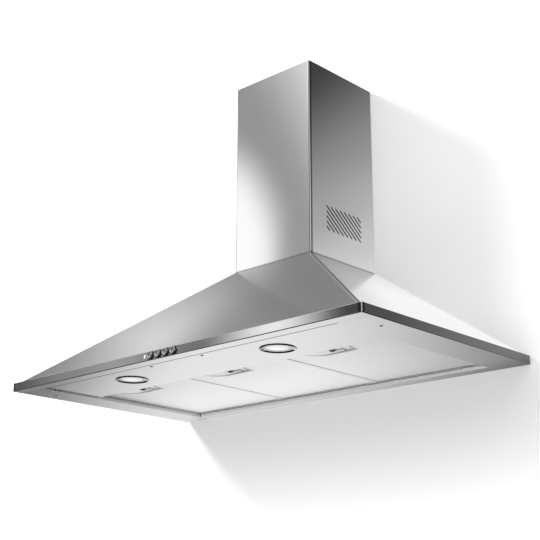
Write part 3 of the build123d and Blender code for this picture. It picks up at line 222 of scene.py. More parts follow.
class NodeTree:
    """Adds nodes to a tree and joins them."""

    def __init__(self, tree):
        self.tree = tree

    def feed(self, socket, value):
        """Joins an output to the socket, or sets the socket's own value."""
        if isinstance(value, bpy.types.NodeSocket):
            self.tree.links.new(value, socket)
        else:
            socket.default_value = value

    def put(self, kind, sockets=None, **settings):
        """One shader node: settings are its attributes, sockets its values or the outputs that feed it."""
        made = self.tree.nodes.new("ShaderNode" + kind)
        for key, value in settings.items():
            setattr(made, key, value)
        for key, value in (sockets or {}).items():
            self.feed(made.inputs[key], value)
        return made

    def value(self, kind, sockets=None, **settings):
        """First output of a new node."""
        return self.put(kind, sockets, **settings).outputs[0]

    def group(self, effect, sockets):
        """Outputs of one of the shared effects."""
        return self.put("Group", sockets, node_tree=EFFECTS[effect]).outputs

    def math(self, operation, first, second=0.0, third=0.0, clamp=False):
        sockets = {0: first, 1: second, 2: third}
        return self.value("Math", sockets, operation=operation, use_clamp=clamp)

    def times(self, *factors):
        product = factors[0]
        for factor in factors[1:]:
            product = self.math("MULTIPLY", product, factor)
        return product

    def plus(self, first, second, clamp=False):
        return self.math("ADD", first, second, clamp=clamp)

    def minus(self, first, second):
        return self.math("SUBTRACT", first, second)

    def line(self, value, slope, start, clamp=False):
        """value times slope, plus start."""
        return self.math("MULTIPLY_ADD", value, slope, start, clamp)

    def rest(self, value):
        """What is left of 1."""
        return self.minus(1.0, value)

    def above(self, value, limit):
        return self.math("GREATER_THAN", value, limit)

    def below(self, value, limit):
        return self.math("LESS_THAN", value, limit)

    def spread(self, value, low, high, start=0.0, end=1.0):
        """Maps start..end to low..high, smoothly at both ends."""
        sockets = {"Value": value, "From Min": start, "From Max": end, "To Min": low, "To Max": high}
        return self.value("MapRange", sockets, interpolation_type="SMOOTHSTEP")

    def rise(self, value, start, end):
        """From 0 to 1, smoothly, as the value goes from start to end."""
        return self.spread(value, 0.0, 1.0, start, end)

    def fall(self, value, start, end):
        """From 1 to 0, smoothly, as the value goes from start to end."""
        return self.spread(value, 1.0, 0.0, start, end)

    def ramp(self, value, stops):
        """Grey ramp through (place, level) stops; places are 0..1."""
        made = self.put("ValToRGB", {0: value})
        made.color_ramp.interpolation = "EASE"
        elements = made.color_ramp.elements
        while len(elements) < len(stops):
            elements.new(0.5)
        for element, (place, level) in zip(elements, stops):
            element.position = place
            element.color = grey(level)
        return made.outputs[0]

    def blend(self, factor, first, second):
        """Mixed colour."""
        sockets = {0: factor, 6: first, 7: second}
        return self.put("Mix", sockets, data_type="RGBA").outputs[2]

    def either(self, factor, first, second):
        """Mixed shader."""
        return self.value("MixShader", {0: factor, 1: first, 2: second})

    def place(self, scale=(1.0, 1.0, 1.0), location=(0.0, 0.0, 0.0)):
        """Object coordinates, stretched and then shifted."""
        vector = self.put("TexCoord").outputs["Object"]
        return self.value("Mapping", {"Vector": vector, "Scale": scale, "Location": location})

    def axes(self, vector):
        """X, Y and Z of a vector."""
        return self.put("SeparateXYZ", {0: vector}).outputs

    def normal(self):
        return self.put("NewGeometry").outputs["True Normal"]

    def noise(self, vector, scale, detail=2.0, roughness=0.5):
        sockets = {"Vector": vector, "Scale": scale, "Detail": detail, "Roughness": roughness}
        return self.value("TexNoise", sockets)

    def crease(self, reach, depth=0.75):
        """Painted shade: factor that is low beside a seam or in a crease."""
        return self.group("seam", {"Reach": reach, "Depth": depth})["Shade"]

    def scaled(self, colour, factor):
        """A colour times a factor that changes over the surface."""
        return self.value("VectorMath", {0: colour[:3], "Scale": factor}, operation="SCALE")


def grey(level):
    return (level, level, level, 1.0)


def new_group(name, inputs, outputs):
    """Empty shader group with (name, kind, default) inputs and float outputs."""
    shared = bpy.data.node_groups.new(name, "ShaderNodeTree")
    for label, kind, default in inputs:
        socket = shared.interface.new_socket(label, in_out="INPUT", socket_type=kind)
        if default is not None:
            socket.default_value = default
    for label in outputs:
        shared.interface.new_socket(label, in_out="OUTPUT", socket_type=FLOAT)
    start, end = shared.nodes.new("NodeGroupInput"), shared.nodes.new("NodeGroupOutput")
    return shared, NodeTree(shared), start.outputs, end.inputs


def brushing_group():
    """Brushing lines along the long axis of a stretched vector, and a broad unevenness."""
    inputs = (
        ("Grain Vector", VECTOR, None),
        ("Place", VECTOR, None),
        ("Grain", FLOAT, 0.35),
        ("Roughness", FLOAT, 0.17),
    )
    shared, tree, start, end = new_group("Brushing", inputs, ("Roughness", "Shade", "Height"))
    streak = tree.noise(start["Grain Vector"], 1.0, 3.0, 0.6)
    cloud = tree.noise(start["Place"], 4.5)
    lines = tree.times(tree.minus(streak, 0.5), start["Grain"])
    uneven = tree.times(tree.minus(cloud, 0.5), 0.06)
    strength = 0.22
    rough = tree.line(lines, strength, start["Roughness"])
    shade = tree.line(lines, strength, 1.0)
    tree.feed(end["Roughness"], tree.plus(rough, uneven, clamp=True))
    tree.feed(end["Shade"], tree.plus(shade, uneven))
    tree.feed(end["Height"], streak)
    return shared


def moulding_group():
    """Fine stipple of a moulded plastic with a little unevenness."""
    inputs = (("Place", VECTOR, None), ("Size", FLOAT, 900.0))
    shared, tree, start, end = new_group("Moulding", inputs, ("Stipple", "Shade"))
    tree.feed(end["Stipple"], tree.noise(start["Place"], start["Size"]))
    cloud = tree.noise(start["Place"], 30.0)
    tree.feed(end["Shade"], tree.spread(cloud, 0.92, 1.06, *CLOUDY))
    return shared


def seam_group():
    """Dark beside a seam or in a crease, where little light gets in, and 1 on open metal."""
    inputs = (("Reach", FLOAT, 0.005), ("Depth", FLOAT, 0.75))
    shared, tree, start, end = new_group("Seam shade", inputs, ("Shade",))
    sockets = {"Distance": start["Reach"]}
    openness = tree.put("AmbientOcclusion", sockets, samples=12).outputs["AO"]
    closed = tree.times(tree.fall(openness, 0.76, 0.97), start["Depth"])
    tree.feed(end["Shade"], tree.rest(closed))
    return shared


def painted_fold_group():
    """Factor on the canopy's steel: lines of painted highlight and painted shade at the hips and corners,
    and painted shade beside the chimney.
    """
    shared, tree, start, end = new_group("Painted fold light", (("Place", VECTOR, None),), ("Shade",))
    x, y, z = tree.axes(start["Place"])
    x = tree.math("ABSOLUTE", x)
    # Distance in plan from the hip, rising towards the side panel.
    past = tree.line(x, HIP[0], tree.line(y, HIP[1], HIP[2]))
    side = tree.above(past, -0.0018)
    slope = tree.rise(z, BAND_TOP, BAND_TOP + 0.007)
    # Painted highlight on the front sheet and painted shade on the side sheet, along the hip.
    light = tree.times(tree.spread(past, 0.0, 0.40, -0.0056, -0.0044), tree.rest(side))
    dark = tree.times(tree.spread(past, 0.52, 0.0, 0.0016, 0.0034), side)
    hip = tree.line(tree.minus(light, dark), slope, 1.0)
    # Two lines of painted shade beside the bend at the band's corners.
    offset = tree.math("ABSOLUTE", tree.plus(past, 0.0007))
    corner = tree.times(
        tree.spread(offset, 0.0, 0.6, 0.0020, 0.0030),
        tree.fall(offset, 0.0048, 0.0060),
        tree.fall(z, BAND_TOP - 0.001, BAND_TOP + 0.001),
        tree.above(z, BAND_FOOT),
    )
    # Painted shade: the side slopes are dimmer near the chimney.
    near = tree.times(tree.spread(x, 0.54, 0.0, CHIMNEY_SIDE, 0.29), side)
    tree.feed(end["Shade"], tree.times(hip, tree.rest(corner), tree.rest(near)))
    return shared


# ---------------- materials
def new_material(name):
    material = bpy.data.materials.new(name)
    material.use_nodes = True
    return material, NodeTree(material.node_tree), material.node_tree.nodes["Principled BSDF"].inputs


def paint(tree, shader, colour, shade, rough, metallic=1.0):
    """Sets the shader's colour, darker or lighter by place, its roughness and its share of metal."""
    tree.feed(shader["Base Color"], tree.scaled(colour, shade))
    tree.feed(shader["Roughness"], rough)
    tree.feed(shader["Metallic"], metallic)


def add_bump(tree, shader, strength, distance, height):
    sockets = {"Strength": strength, "Distance": distance, "Height": height}
    tree.feed(shader["Normal"], tree.value("Bump", sockets))


def brushed_metal(name, along, finish, *changes):
    """Brushed metal with its lines along X, Y or Z, and painted shade beside its seams.

    A finish is a tint, a roughness, a strength of the grain and a reach of the painted shade beside the
    seams.
    Each change alters the look by place on the hood.
    """
    material, tree, shader = new_material(name)
    tint, roughness, grain, reach = finish
    place = tree.place()
    lines = tree.place([GRAIN_ALONG if axis == along else GRAIN_ACROSS for axis in "XYZ"])
    sockets = {"Grain Vector": lines, "Place": place, "Grain": grain, "Roughness": roughness}
    brushing = tree.group("brushing", sockets)
    shade = tree.times(brushing["Shade"], tree.crease(reach))
    look = {"shade": shade, "rough": brushing["Roughness"], "metallic": 1.0}
    for change in changes:
        change(tree, place, look)
    paint(tree, shader, tint, **look)
    add_bump(tree, shader, 0.12, 0.00004, brushing["Height"])
    return material


def chimney_painted_shade(tree, place, look):
    """Painted shade: a dark line behind the front bend, and a nearly black inside."""
    x, y, _ = tree.axes(place)
    flat = tree.above(tree.math("ABSOLUTE", x), CHIMNEY_SIDE - 0.00005)
    bend = tree.times(flat, tree.spread(y, 0.55, 0.0, *CHIMNEY_BEND_SHADE))
    inside = inside_mask(tree, place)
    look["shade"] = tree.times(look["shade"], tree.rest(bend), tree.spread(inside, 1.0, 0.05))
    look["rough"] = tree.line(inside, 0.45, look["rough"], clamp=True)


def inside_mask(tree, place):
    """1 on the chimney's faces that look at its axis and on the walls of the vent slots."""
    normal = tree.normal()
    spoke = tree.value("VectorMath", {0: place, 1: (0.0, -CHIMNEY_AXIS_Y, 0.0)}, operation="ADD")
    flat = tree.value("VectorMath", {0: spoke, 1: (1.0, 1.0, 0.0)}, operation="MULTIPLY")
    facing = tree.put("VectorMath", {0: flat, 1: normal}, operation="DOT_PRODUCT").outputs["Value"]
    inward = tree.below(facing, -0.0005)
    places = tree.axes(place)
    slot = tree.below(tree.math("ABSOLUTE", tree.axes(normal)["X"]), 0.5)
    for axis, middle, half in VENT_ZONE:
        offset = tree.math("ABSOLUTE", tree.minus(places[axis], middle))
        slot = tree.times(slot, tree.below(offset, half))
    return tree.math("MAXIMUM", inward, slot)


def panel_painted_shade(tree, place, look):
    """Painted shade under the return strip's rear edge."""
    shade = tree.spread(tree.axes(place)["Y"], 0.15, 1.0, *STRIP_SHADE)
    look["shade"] = tree.times(look["shade"], shade)


def back_lip_painted_light(tree, place, look):
    """Painted light: the lip that looks at the filters is matt, pale and not like metal."""
    front = tree.below(tree.axes(tree.normal())["Y"], -0.5)
    look["shade"] = tree.math("MAXIMUM", look["shade"], tree.times(front, 1.5))
    look["rough"] = tree.line(front, 0.6, look["rough"], clamp=True)
    look["metallic"] = tree.rest(front)


def flange_painted_light_and_shade(tree, place, look):
    """The left flange is dimmer, as painted shade, and both flanges' inner edges, which look at the filters,
    are matt and pale, as painted light.
    """
    x, _, z = tree.axes(place)
    left = tree.times(tree.below(z, FLANGE_FACE), tree.below(x, 0.0))
    # Facing the middle of the hood, and not part of the slope's inside.
    inward = tree.below(tree.times(tree.axes(tree.normal())["X"], x), -0.15)
    edge = tree.times(inward, tree.below(z, -0.15))
    shade = tree.times(look["shade"], tree.spread(left, 1.0, LEFT_FLANGE_SHADE))
    look["shade"] = tree.math("MAXIMUM", shade, tree.times(edge, 1.4))
    look["rough"] = tree.line(edge, 0.5, look["rough"], clamp=True)


def painted_fold_look(tree, place, look):
    """Lines of painted highlight and painted shade at the hips and corners, and the painted shade beside the
    chimney.
    """
    look["shade"] = tree.times(look["shade"], tree.group("painted_fold", {"Place": place})["Shade"])


def along_filter(tree):
    """Place along X from the middle of the filter."""
    x = tree.axes(tree.place())["X"]
    index = tree.math("ROUND", tree.math("DIVIDE", x, FILTER_PITCH))
    return tree.line(index, -FILTER_PITCH, x)


def moulded_plastic(name, colour, roughness, depth=0.75, band=None):
    """Stippled plastic with painted shade in its creases; a band of painted shade goes from one factor to
    another between two places along the filter.
    """
    material, tree, shader = new_material(name)
    moulding = tree.group("moulding", {"Place": tree.place(), "Size": 900.0})
    shade = tree.times(moulding["Shade"], tree.crease(0.004, depth))
    if band:
        shade = tree.times(shade, tree.spread(along_filter(tree), *band))
    rough = tree.spread(moulding["Stipple"], roughness - 0.06, roughness + 0.06, *CLOUDY)
    paint(tree, shader, colour, shade, rough, 0.0)
    add_bump(tree, shader, 0.25, 0.00006, moulding["Stipple"])
    return material


def galvanised_metal(name, tint):
    """Zinc coat with its crystals in different greys."""
    material, tree, shader = new_material(name)
    cells = tree.put("TexVoronoi", {"Vector": tree.place(), "Scale": 140.0}).outputs["Color"]
    crystal = tree.value("SeparateColor", {0: cells})
    paint(tree, shader, tint, tree.spread(crystal, 0.88, 1.08), tree.spread(crystal, 0.30, 0.44))
    return material


def smooth_metal(name, level, low, high, reach=0.003):
    """Polished or plated grey metal, a little uneven in its gloss, with painted shade beside its seams."""
    material, tree, shader = new_material(name)
    cloud = tree.noise(tree.place(), 160.0, 3.0)
    shade = tree.times(tree.spread(cloud, 0.96, 1.03, *CLOUDY), tree.crease(reach))
    paint(tree, shader, grey(level), shade, tree.spread(cloud, low, high, *CLOUDY))
    return material


def bezel_metal(name, level):
    """Chrome of the bezels, with painted shade at the end that faces the left front and beside its seams."""
    material, tree, shader = new_material(name)
    x, y, _ = tree.axes(tree.place())
    middle = tree.times(tree.math("SIGN", x), RIGHT_LAMP.x)
    across = tree.times(tree.minus(x, middle), BEZEL_TURN[0])
    across = tree.line(tree.minus(y, RIGHT_LAMP.y), BEZEL_TURN[1], across)
    shade = tree.times(tree.spread(across, 0.10, 1.0, *BEZEL_PAINTED_SHADE), tree.crease(0.002))
    cloud = tree.noise(tree.place(), 160.0, 3.0)
    paint(tree, shader, grey(level), shade, tree.spread(cloud, 0.06, 0.12, *CLOUDY))
    return material


def filter_cloth(name, level):
    """Expanded aluminium: rows of diamond openings seen as light strands and darker gaps, with painted shade
    beside its seams.
    """
    material, tree, shader = new_material(name)
    x, y, _ = tree.axes(tree.place())
    across = tree.times(x, pi / MESH_PITCH[0])
    along = tree.times(y, pi / MESH_PITCH[1])
    left = tree.math("SINE", tree.plus(across, along))
    right = tree.math("SINE", tree.minus(across, along))
    weave = tree.math("ABSOLUTE", tree.times(left, right))
    shade = tree.times(tree.spread(weave, 0.90, 1.02), tree.crease(0.002, 0.4))
    paint(tree, shader, grey(level), shade, tree.spread(weave, 0.40, 0.28))
    add_bump(tree, shader, 0.10, 0.0002, weave)
    return material


def lamp_glass(name, centre, radius, glow):
    """Frosted glass, brightest over the capsule behind it, and dimmer towards the right by painted shade."""
    material, tree, shader = new_material(name)
    place = tree.place(location=tuple(-c for c in centre))
    distance = tree.put("VectorMath", {0: place}, operation="LENGTH").outputs["Value"]
    share = tree.math("DIVIDE", distance, radius)
    grains = tree.noise(place, 700.0)
    light = tree.times(tree.spread(share, 1.25, 0.55, 0.25, 1.0), glow)
    # Painted shade: the glow is dimmer towards the right.
    light = tree.times(light, tree.spread(tree.axes(place)["X"], 1.1, 0.6, -0.006, 0.018))
    shade = tree.spread(grains, 0.97, 1.03)
    paint(tree, shader, (0.62, 0.62, 0.61), shade, tree.spread(grains, 0.18, 0.30), 0.0)
    tree.feed(shader["Emission Color"], tree.scaled((1.0, 0.99, 0.96), light))
    shader["Emission Strength"].default_value = 1.0
    return material


def printed_board(name):
    """Green board with a copper grid under the lacquer."""
    material, tree, shader = new_material(name)
    place = tree.place((260.0, 260.0, 260.0))
    cells = tree.put("TexBrick", {"Vector": place, "Scale": 1.0, "Mortar Size": 0.04}).outputs["Fac"]
    lacquer, copper = (0.02, 0.12, 0.05, 1.0), (0.06, 0.22, 0.09, 1.0)
    tree.feed(shader["Base Color"], tree.blend(cells, lacquer, copper))
    tree.feed(shader["Roughness"], tree.spread(cells, 0.35, 0.25))
    return material


# Colour and roughness of the plain plastics.
PLASTICS = {
    "black_plastic": ((0.02, 0.02, 0.02), 0.40),
    "grey_plastic": ((0.34, 0.34, 0.34), 0.42),
    "white_plastic": ((0.76, 0.76, 0.74), 0.36),
}


def make_materials(settings):
    """Every finish, by its name."""
    EFFECTS["brushing"] = brushing_group()
    EFFECTS["moulding"] = moulding_group()
    EFFECTS["seam"] = seam_group()
    EFFECTS["painted_fold"] = painted_fold_group()
    steel = settings.hood_steel
    steel = (tuple(steel.tint), steel.roughness, steel.grain, steel.seam_shade_reach)
    frame_metal = (grey(0.86), 0.30, 0.2, 0.0012)
    motor_metal = (grey(0.52), 0.38, 0.3, 0.004)
    made = {
        "steel_z": brushed_metal("steel_along_z", "Z", steel, chimney_painted_shade),
        "back_steel": brushed_metal("back_steel", "X", steel, back_lip_painted_light),
        "panel_steel": brushed_metal("panel_steel", "X", steel, panel_painted_shade),
        "front_steel": brushed_metal("front_steel", "X", steel, painted_fold_look),
        "side_steel": brushed_metal("side_steel", "Y", steel, flange_painted_light_and_shade, painted_fold_look),
        "filter_frame": brushed_metal("filter_frame_metal", "X", frame_metal),
        "motor_metal": brushed_metal("motor_metal", "X", motor_metal),
        "screw_steel": smooth_metal("screw_metal", 0.86, 0.40, 0.50, 0.0005),
        "chrome": smooth_metal("chrome_plate", 0.72, 0.05, 0.10),
        "reflector": smooth_metal("lamp_reflector", 0.80, 0.12, 0.2),
        "bezel": bezel_metal("bezel_chrome", 0.40),
        "galvanised": galvanised_metal("galvanised_sheet", (0.58, 0.59, 0.60)),
        "filter_mesh": filter_cloth("filter_mesh_metal", 0.91),
        "circuit_board": printed_board("printed_board"),
        "indicator": moulded_plastic("indicator_lens_white", grey(0.92), 0.20),
        "mark": moulded_plastic("button_mark", tuple(settings.hood_controls.mark_colour), 0.4),
    }
    for name, (colour, roughness) in PLASTICS.items():
        made[name] = moulded_plastic(name, colour, roughness)
    # The pocket's right end of each handle and the left end of each latch are in shade.
    pocket_end_shade, latch_end_shade = (1.0, 0.3, 0.0245, 0.0252), (0.08, 1.0, -0.021, -0.012)
    made["handle"] = moulded_plastic("handle_plastic", grey(0.70), 0.42, 0.3, pocket_end_shade)
    made["latch"] = moulded_plastic("latch_plastic", grey(0.62), 0.40, 0.3, latch_end_shade)
    return made


# Materials made once by the finishes operator and shared by the pieces.
MATERIALS = {}
# Nodes whose finish isn't the one of their material slot.
FINISHES = {
    "back_steel": ("back_panel",),
    "front_steel": ("canopy_front",),
    "panel_steel": ("lamp_panel",),
    "side_steel": ("canopy_left", "canopy_right"),
    "steel_z": ("lower_chimney", "upper_chimney"),
}


# ---------------- mesh helpers
def add_to_scene(name, data):
    made = bpy.data.objects.new(name, data)
    bpy.context.scene.collection.objects.link(made)
    return made


# Points closer than this are one point.
MERGE = 1e-7


def finish_mesh(name, bm, materials, smooth_angle=35.0):
    """Turns a bmesh into an object with smooth faces and sharp edges by angle."""
    bmesh.ops.remove_doubles(bm, verts=bm.verts, dist=MERGE)
    bmesh.ops.recalc_face_normals(bm, faces=bm.faces)
    for face in bm.faces:
        face.smooth = True
    for edge in bm.edges:
        if len(edge.link_faces) == 2 and edge.calc_face_angle(0.0) > radians(smooth_angle):
            edge.smooth = False
    mesh = bpy.data.meshes.new(name)
    bm.to_mesh(mesh)
    bm.free()
    for material in materials:
        mesh.materials.append(material)
    return add_to_scene(name, mesh)


def turned_profile(bm, points, steps, closed=True):
    """Spins (radius, height) points about Z into the bmesh."""
    verts = [bm.verts.new((r, 0.0, h)) for r, h in points]
    pairs = list(zip(verts, verts[1:]))
    if closed:
        pairs.append((verts[-1], verts[0]))
    edges = [bm.edges.new(pair) for pair in pairs]
    bmesh.ops.spin(
        bm, geom=verts + edges, cent=(0.0, 0.0, 0.0), axis=(0.0, 0.0, 1.0), angle=2 * pi,
        steps=steps, use_merge=True,
    )


def arc(centre_r, centre_h, radius, start, end, count):
    """Points on an arc in the (radius, height) plane, in degrees."""
    points = []
    for i in range(count + 1):
        angle = radians(start + (end - start) * i / count)
        points.append((centre_r + radius * cos(angle), centre_h + radius * sin(angle)))
    return points


# ---------------- lamps
def build_bezel(side, settings):
    """Chrome bezel: rounded lip, inward taper, narrow bead and a flat ring round the throat of the lens."""
    node = f"lamp_{side}_ring"
    low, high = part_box(node)
    centre = (low + high) / 2
    radius = (high.x - low.x) / 2
    lip = settings.lip
    # Heights above the bezel's lowest point, from the face up.
    crest, bead, flat, corner, seat, top = 0.0005, 0.0019, 0.0021, 0.0026, 0.0052, high.z - low.z
    flange = 0.0020
    # Radii, from the outside in.
    taper_start, collar, taper_end, bead_radius, flat_start = 0.0306, 0.0283, 0.0266, 0.0260, 0.0254
    seat_radius, throat, bevel = 0.0230, 0.0207, 0.0006
    profile = [(collar, flange), (radius, flange), (radius, crest + lip)]
    profile += arc(radius - lip, crest + lip, lip, 0, -90, 14)[1:]
    profile += [(taper_start, crest), (taper_end, flat), (bead_radius, bead), (flat_start, flat)]
    profile += [(throat + bevel, flat + 0.0001), (throat, corner), (throat, seat)]
    profile += [(seat_radius, seat), (seat_radius, top), (collar, top)]
    bm = bmesh.new()
    turned_profile(bm, profile, 96)
    bmesh.ops.translate(bm, verts=bm.verts, vec=(centre.x, centre.y, low.z))
    made = finish_mesh(f"lamp_bezel_{side}", bm, [MATERIALS["bezel"]], 8.0)
    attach(made, "hood")
    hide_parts(node)


def build_lens(side, settings):
    """Frosted lens: a rim on the bezel's seat and a body in its throat, with a dome and a raised ring."""
    node = f"lamp_{side}_lens"
    low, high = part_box(node)
    centre = (low + high) / 2
    rim = (high.x - low.x) / 2
    sag = settings.lens_sag
    dome, ring, ring_half, ring_height = rim - 0.0026, 0.0150, 0.0009, 0.0003
    top = high.z - low.z
    seat = top - 0.0014
    face = -settings.lens_reach
    body = dome + 0.0002
    steps = 12
    profile = []
    for i in range(steps + 1):
        r = dome * i / steps
        drop = sag * (1 - (r / dome) ** 2)
        bead = ring_height if abs(r - ring) < ring_half else 0.0
        profile.append((r, face - drop - bead))
    profile += [(body, face + 0.0004), (body, seat), (rim, seat), (rim, top), (0.0, top)]
    bm = bmesh.new()
    turned_profile(bm, profile, 72, closed=False)
    bmesh.ops.translate(bm, verts=bm.verts, vec=(centre.x, centre.y, low.z))
    glass = lamp_glass(f"frosted_glass_{side}", (centre.x, centre.y, low.z), rim, settings.glow)
    made = finish_mesh(f"lamp_glass_{side}", bm, [glass], 50.0)
    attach(made, "hood")
    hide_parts(node)


# ---------------- buttons
def add_disc(bm, x, y, z, radius, height):
    """Low disc on a button's face, whose faces take the second material."""
    before = set(bm.faces)
    ring = bmesh.ops.create_circle(bm, cap_ends=True, radius=radius, segments=12)
    bmesh.ops.translate(bm, verts=ring["verts"], vec=(x, y, z))
    cap = [face for face in bm.faces if face not in before]
    made = bmesh.ops.extrude_face_region(bm, geom=cap)
    verts = [part for part in made["geom"] if isinstance(part, bmesh.types.BMVert)]
    bmesh.ops.translate(bm, verts=verts, vec=(0.0, 0.0, height))
    for face in bm.faces:
        if face not in before:
            face.material_index = 1


# Dots on each button's face, from its centre, as (x, y) in metres.
BUTTON_DOTS = (
    ((0.0, 0.0),),
    ((-0.0011, 0.0), (0.0011, 0.0)),
    ((-0.0012, -0.0007), (0.0012, -0.0007), (0.0, 0.0013)),
    ((-0.0011, -0.0011), (0.0011, -0.0011), (-0.0011, 0.0011), (0.0011, 0.0011)),
)


def build_button(index, settings):
    """One push button: a turned cap with a hollowed face, a flange and dots filled with dark paint."""
    node = f"button_{index}"
    low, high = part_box(node)
    centre = (low + high) / 2
    length = high.y - low.y
    cap, rim, stem = 0.0064, (high.x - low.x) / 2, 0.0020
    cap_length, flange_thickness = 0.0082, 0.0012
    seat = length - cap_length
    flange = seat - flange_thickness
    edge, dot = 0.0007, 0.0006
    dish = settings.dish
    profile = [(0.0, 0.0), (stem, 0.0), (stem, flange), (rim, flange), (rim, seat), (cap, seat)]
    profile += arc(cap - edge, length - edge, edge, 0, 90, 5)
    profile += [(cap - edge - 0.0004, length), (cap - edge - 0.0009, length - dish * 0.5)]
    profile += [(cap * 0.45, length - dish * 0.95), (0.0, length - dish)]
    bm = bmesh.new()
    turned_profile(bm, profile, 48, closed=False)
    for x, y in BUTTON_DOTS[index - 1]:
        add_disc(bm, x, y, length - dish * 1.1, dot, dish * 0.2)
    bmesh.ops.rotate(bm, verts=bm.verts, cent=(0, 0, 0), matrix=Matrix.Rotation(radians(90), 3, "X"))
    bmesh.ops.translate(bm, verts=bm.verts, vec=(centre.x, high.y, centre.z))
    made = finish_mesh(f"push_button_cap_{index}", bm, [MATERIALS["chrome"], MATERIALS["mark"]])
    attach(made, f"push_button_{index}")
    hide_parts(node)


# ---------------- screws
def ring_of(bm, points):
    """Closed ring of edges through the points."""
    verts = [bm.verts.new(point) for point in points]
    return [bm.edges.new((a, b)) for a, b in zip(verts, verts[1:] + verts[:1])]


def add_screw(bm, seat, settings):
    """Pan-head screw seen from below: rounded head with a cross recess, and a plain shank."""
    head, top, height, shank, length = 0.0027, 0.0017, 0.0008, 0.00175, 0.0080
    tip, point_length, sides = 0.0006, 0.0012, 24
    before = set(bm.verts)
    arm, half = top * 0.72, settings.slot_width / 2
    # One arm's corners, turned by quarters.
    cross = []
    for quarter in range(4):
        turn = Matrix.Rotation(-quarter * pi / 2, 2)
        cross += [turn @ Vector(corner) for corner in ((arm, half), (arm, -half), (half, -half))]
    inner = ring_of(bm, [(x, y, -height) for x, y in cross])
    rounds = [(top, -height), (head * 0.86, -height * 0.86), (head, -height * 0.45), (head, 0.0)]
    rounds += [(shank, 0.0), (shank, length - point_length), (tip, length)]
    loops = []
    for radius, z in rounds:
        angles = [2 * pi * i / sides for i in range(sides)]
        loops.append(ring_of(bm, [(radius * cos(angle), radius * sin(angle), z) for angle in angles]))
    bmesh.ops.bridge_loops(bm, edges=inner + loops[0])
    for first, second in zip(loops, loops[1:]):
        bmesh.ops.bridge_loops(bm, edges=first + second)
    bmesh.ops.holes_fill(bm, edges=loops[-1], sides=0)
    walls = bmesh.ops.extrude_edge_only(bm, edges=inner)["geom"]
    verts = [part for part in walls if isinstance(part, bmesh.types.BMVert)]
    bmesh.ops.translate(bm, verts=verts, vec=(0.0, 0.0, settings.slot_depth))
    bottom = [part for part in walls if isinstance(part, bmesh.types.BMEdge)]
    bmesh.ops.holes_fill(bm, edges=[edge for edge in bottom if edge.is_boundary], sides=0)
    made = [vert for vert in bm.verts if vert not in before]
    bmesh.ops.translate(bm, verts=made, vec=seat)


def build_screws(settings):
    bm = bmesh.new()
    for seat in SCREW_SEATS:
        add_screw(bm, seat, settings)
    made = finish_mesh("pan_head_screws", bm, [MATERIALS["screw_steel"]], 40.0)
    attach(made, "hood")
    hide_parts("underside_screws")


# ---------------- operators
class HOOD_OT_finishes(Operator):
    """Give every CAD node its finish"""

    bl_idname = "hood.finishes"
    bl_label = "Finishes"

    def execute(self, context):
        MATERIALS.update(make_materials(context.scene))
        finishes = {entry["node"]: entry["material_slot"] for entry in frame["record"]["subparts"]}
        for name, members in FINISHES.items():
            finishes.update(dict.fromkeys(members, name))
        for node, made in NODES.items():
            key = finishes.get(node)
            if key is None:
                raise RuntimeError(f"{node} has no finish")
            if key == "lamp_glass":
                low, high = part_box(node)
                radius = max((high.x - low.x) / 2, 0.02)
                glow = context.scene.hood_lamps.glow
                material = lamp_glass(f"glass_{node}", (low + high) / 2, radius, glow)
            else:
                material = MATERIALS[key]
            made.data.materials.clear()
            made.data.materials.append(material)
        return {"FINISHED"}


class HOOD_OT_lamps(Operator):
    """Make the bezel and the frosted lens of both lamps"""

    bl_idname = "hood.lamps"
    bl_label = "Lamps"

    def execute(self, context):
        for side in LAMP_SIDES:
            build_bezel(side, context.scene.hood_lamps)
            build_lens(side, context.scene.hood_lamps)
        return {"FINISHED"}


class HOOD_OT_buttons(Operator):
    """Make the four push buttons"""

    bl_idname = "hood.buttons"
    bl_label = "Push buttons"

    def execute(self, context):
        for index in range(1, BUTTON_COUNT + 1):
            build_button(index, context.scene.hood_controls)
        return {"FINISHED"}


class HOOD_OT_screws(Operator):
    """Make the four screws under the hood"""

    bl_idname = "hood.screws"
    bl_label = "Screws"

    def execute(self, context):
        build_screws(context.scene.hood_screws)
        return {"FINISHED"}


class HOOD_OT_stage(Operator):
    """Make the wall, the floor, the lights, the world and the camera"""

    bl_idname = "hood.stage"
    bl_label = "Stage"

    def execute(self, context):
        settings = context.scene.hood_stage
        make_wall(settings)
        make_floor(settings)
        make_card()
        make_lights(settings)
        make_world(context.scene)
        make_camera(context.scene)
        context.scene.view_settings.view_transform = "Standard"
        return {"FINISHED"}


# ---------------- stage
WALL_GAP = 0.002
WALL_HALF = 5.0
WALL_TOP = 4.0
# The light card in front of the hood, with a low part that reaches further right.
CARD_Y = -0.75
CARD_LEFT, CARD_RIGHT, CARD_LOW_RIGHT = -1.0, -0.10, 0.3
CARD_LOW, CARD_STEP, CARD_TOP = -0.14, 0.1, 1.4
# Heights between which the wall goes from what the underside mirrors to what the rest mirrors.
UNDER_AND_ABOVE = (-0.175, -0.150)


def plane(name, corners, material):
    """One flat sheet whose front faces the way its corners turn."""
    bm = bmesh.new()
    bm.faces.new([bm.verts.new(corner) for corner in corners])
    mesh = bpy.data.meshes.new(name)
    bm.to_mesh(mesh)
    bm.free()
    mesh.materials.append(material)
    made = add_to_scene(name, mesh)
    return made


def empty_tree(owner):
    """Node tree of a material's or a world's tree with nothing in it."""
    owner.use_nodes = True
    owner.node_tree.nodes.clear()
    return NodeTree(owner.node_tree)


def one_sided(tree, shader):
    """Shows a shader on the front and nothing on the back."""
    back = tree.put("NewGeometry").outputs["Backfacing"]
    through = tree.value("BsdfTransparent")
    tree.put("OutputMaterial", {"Surface": tree.either(back, shader, through)})


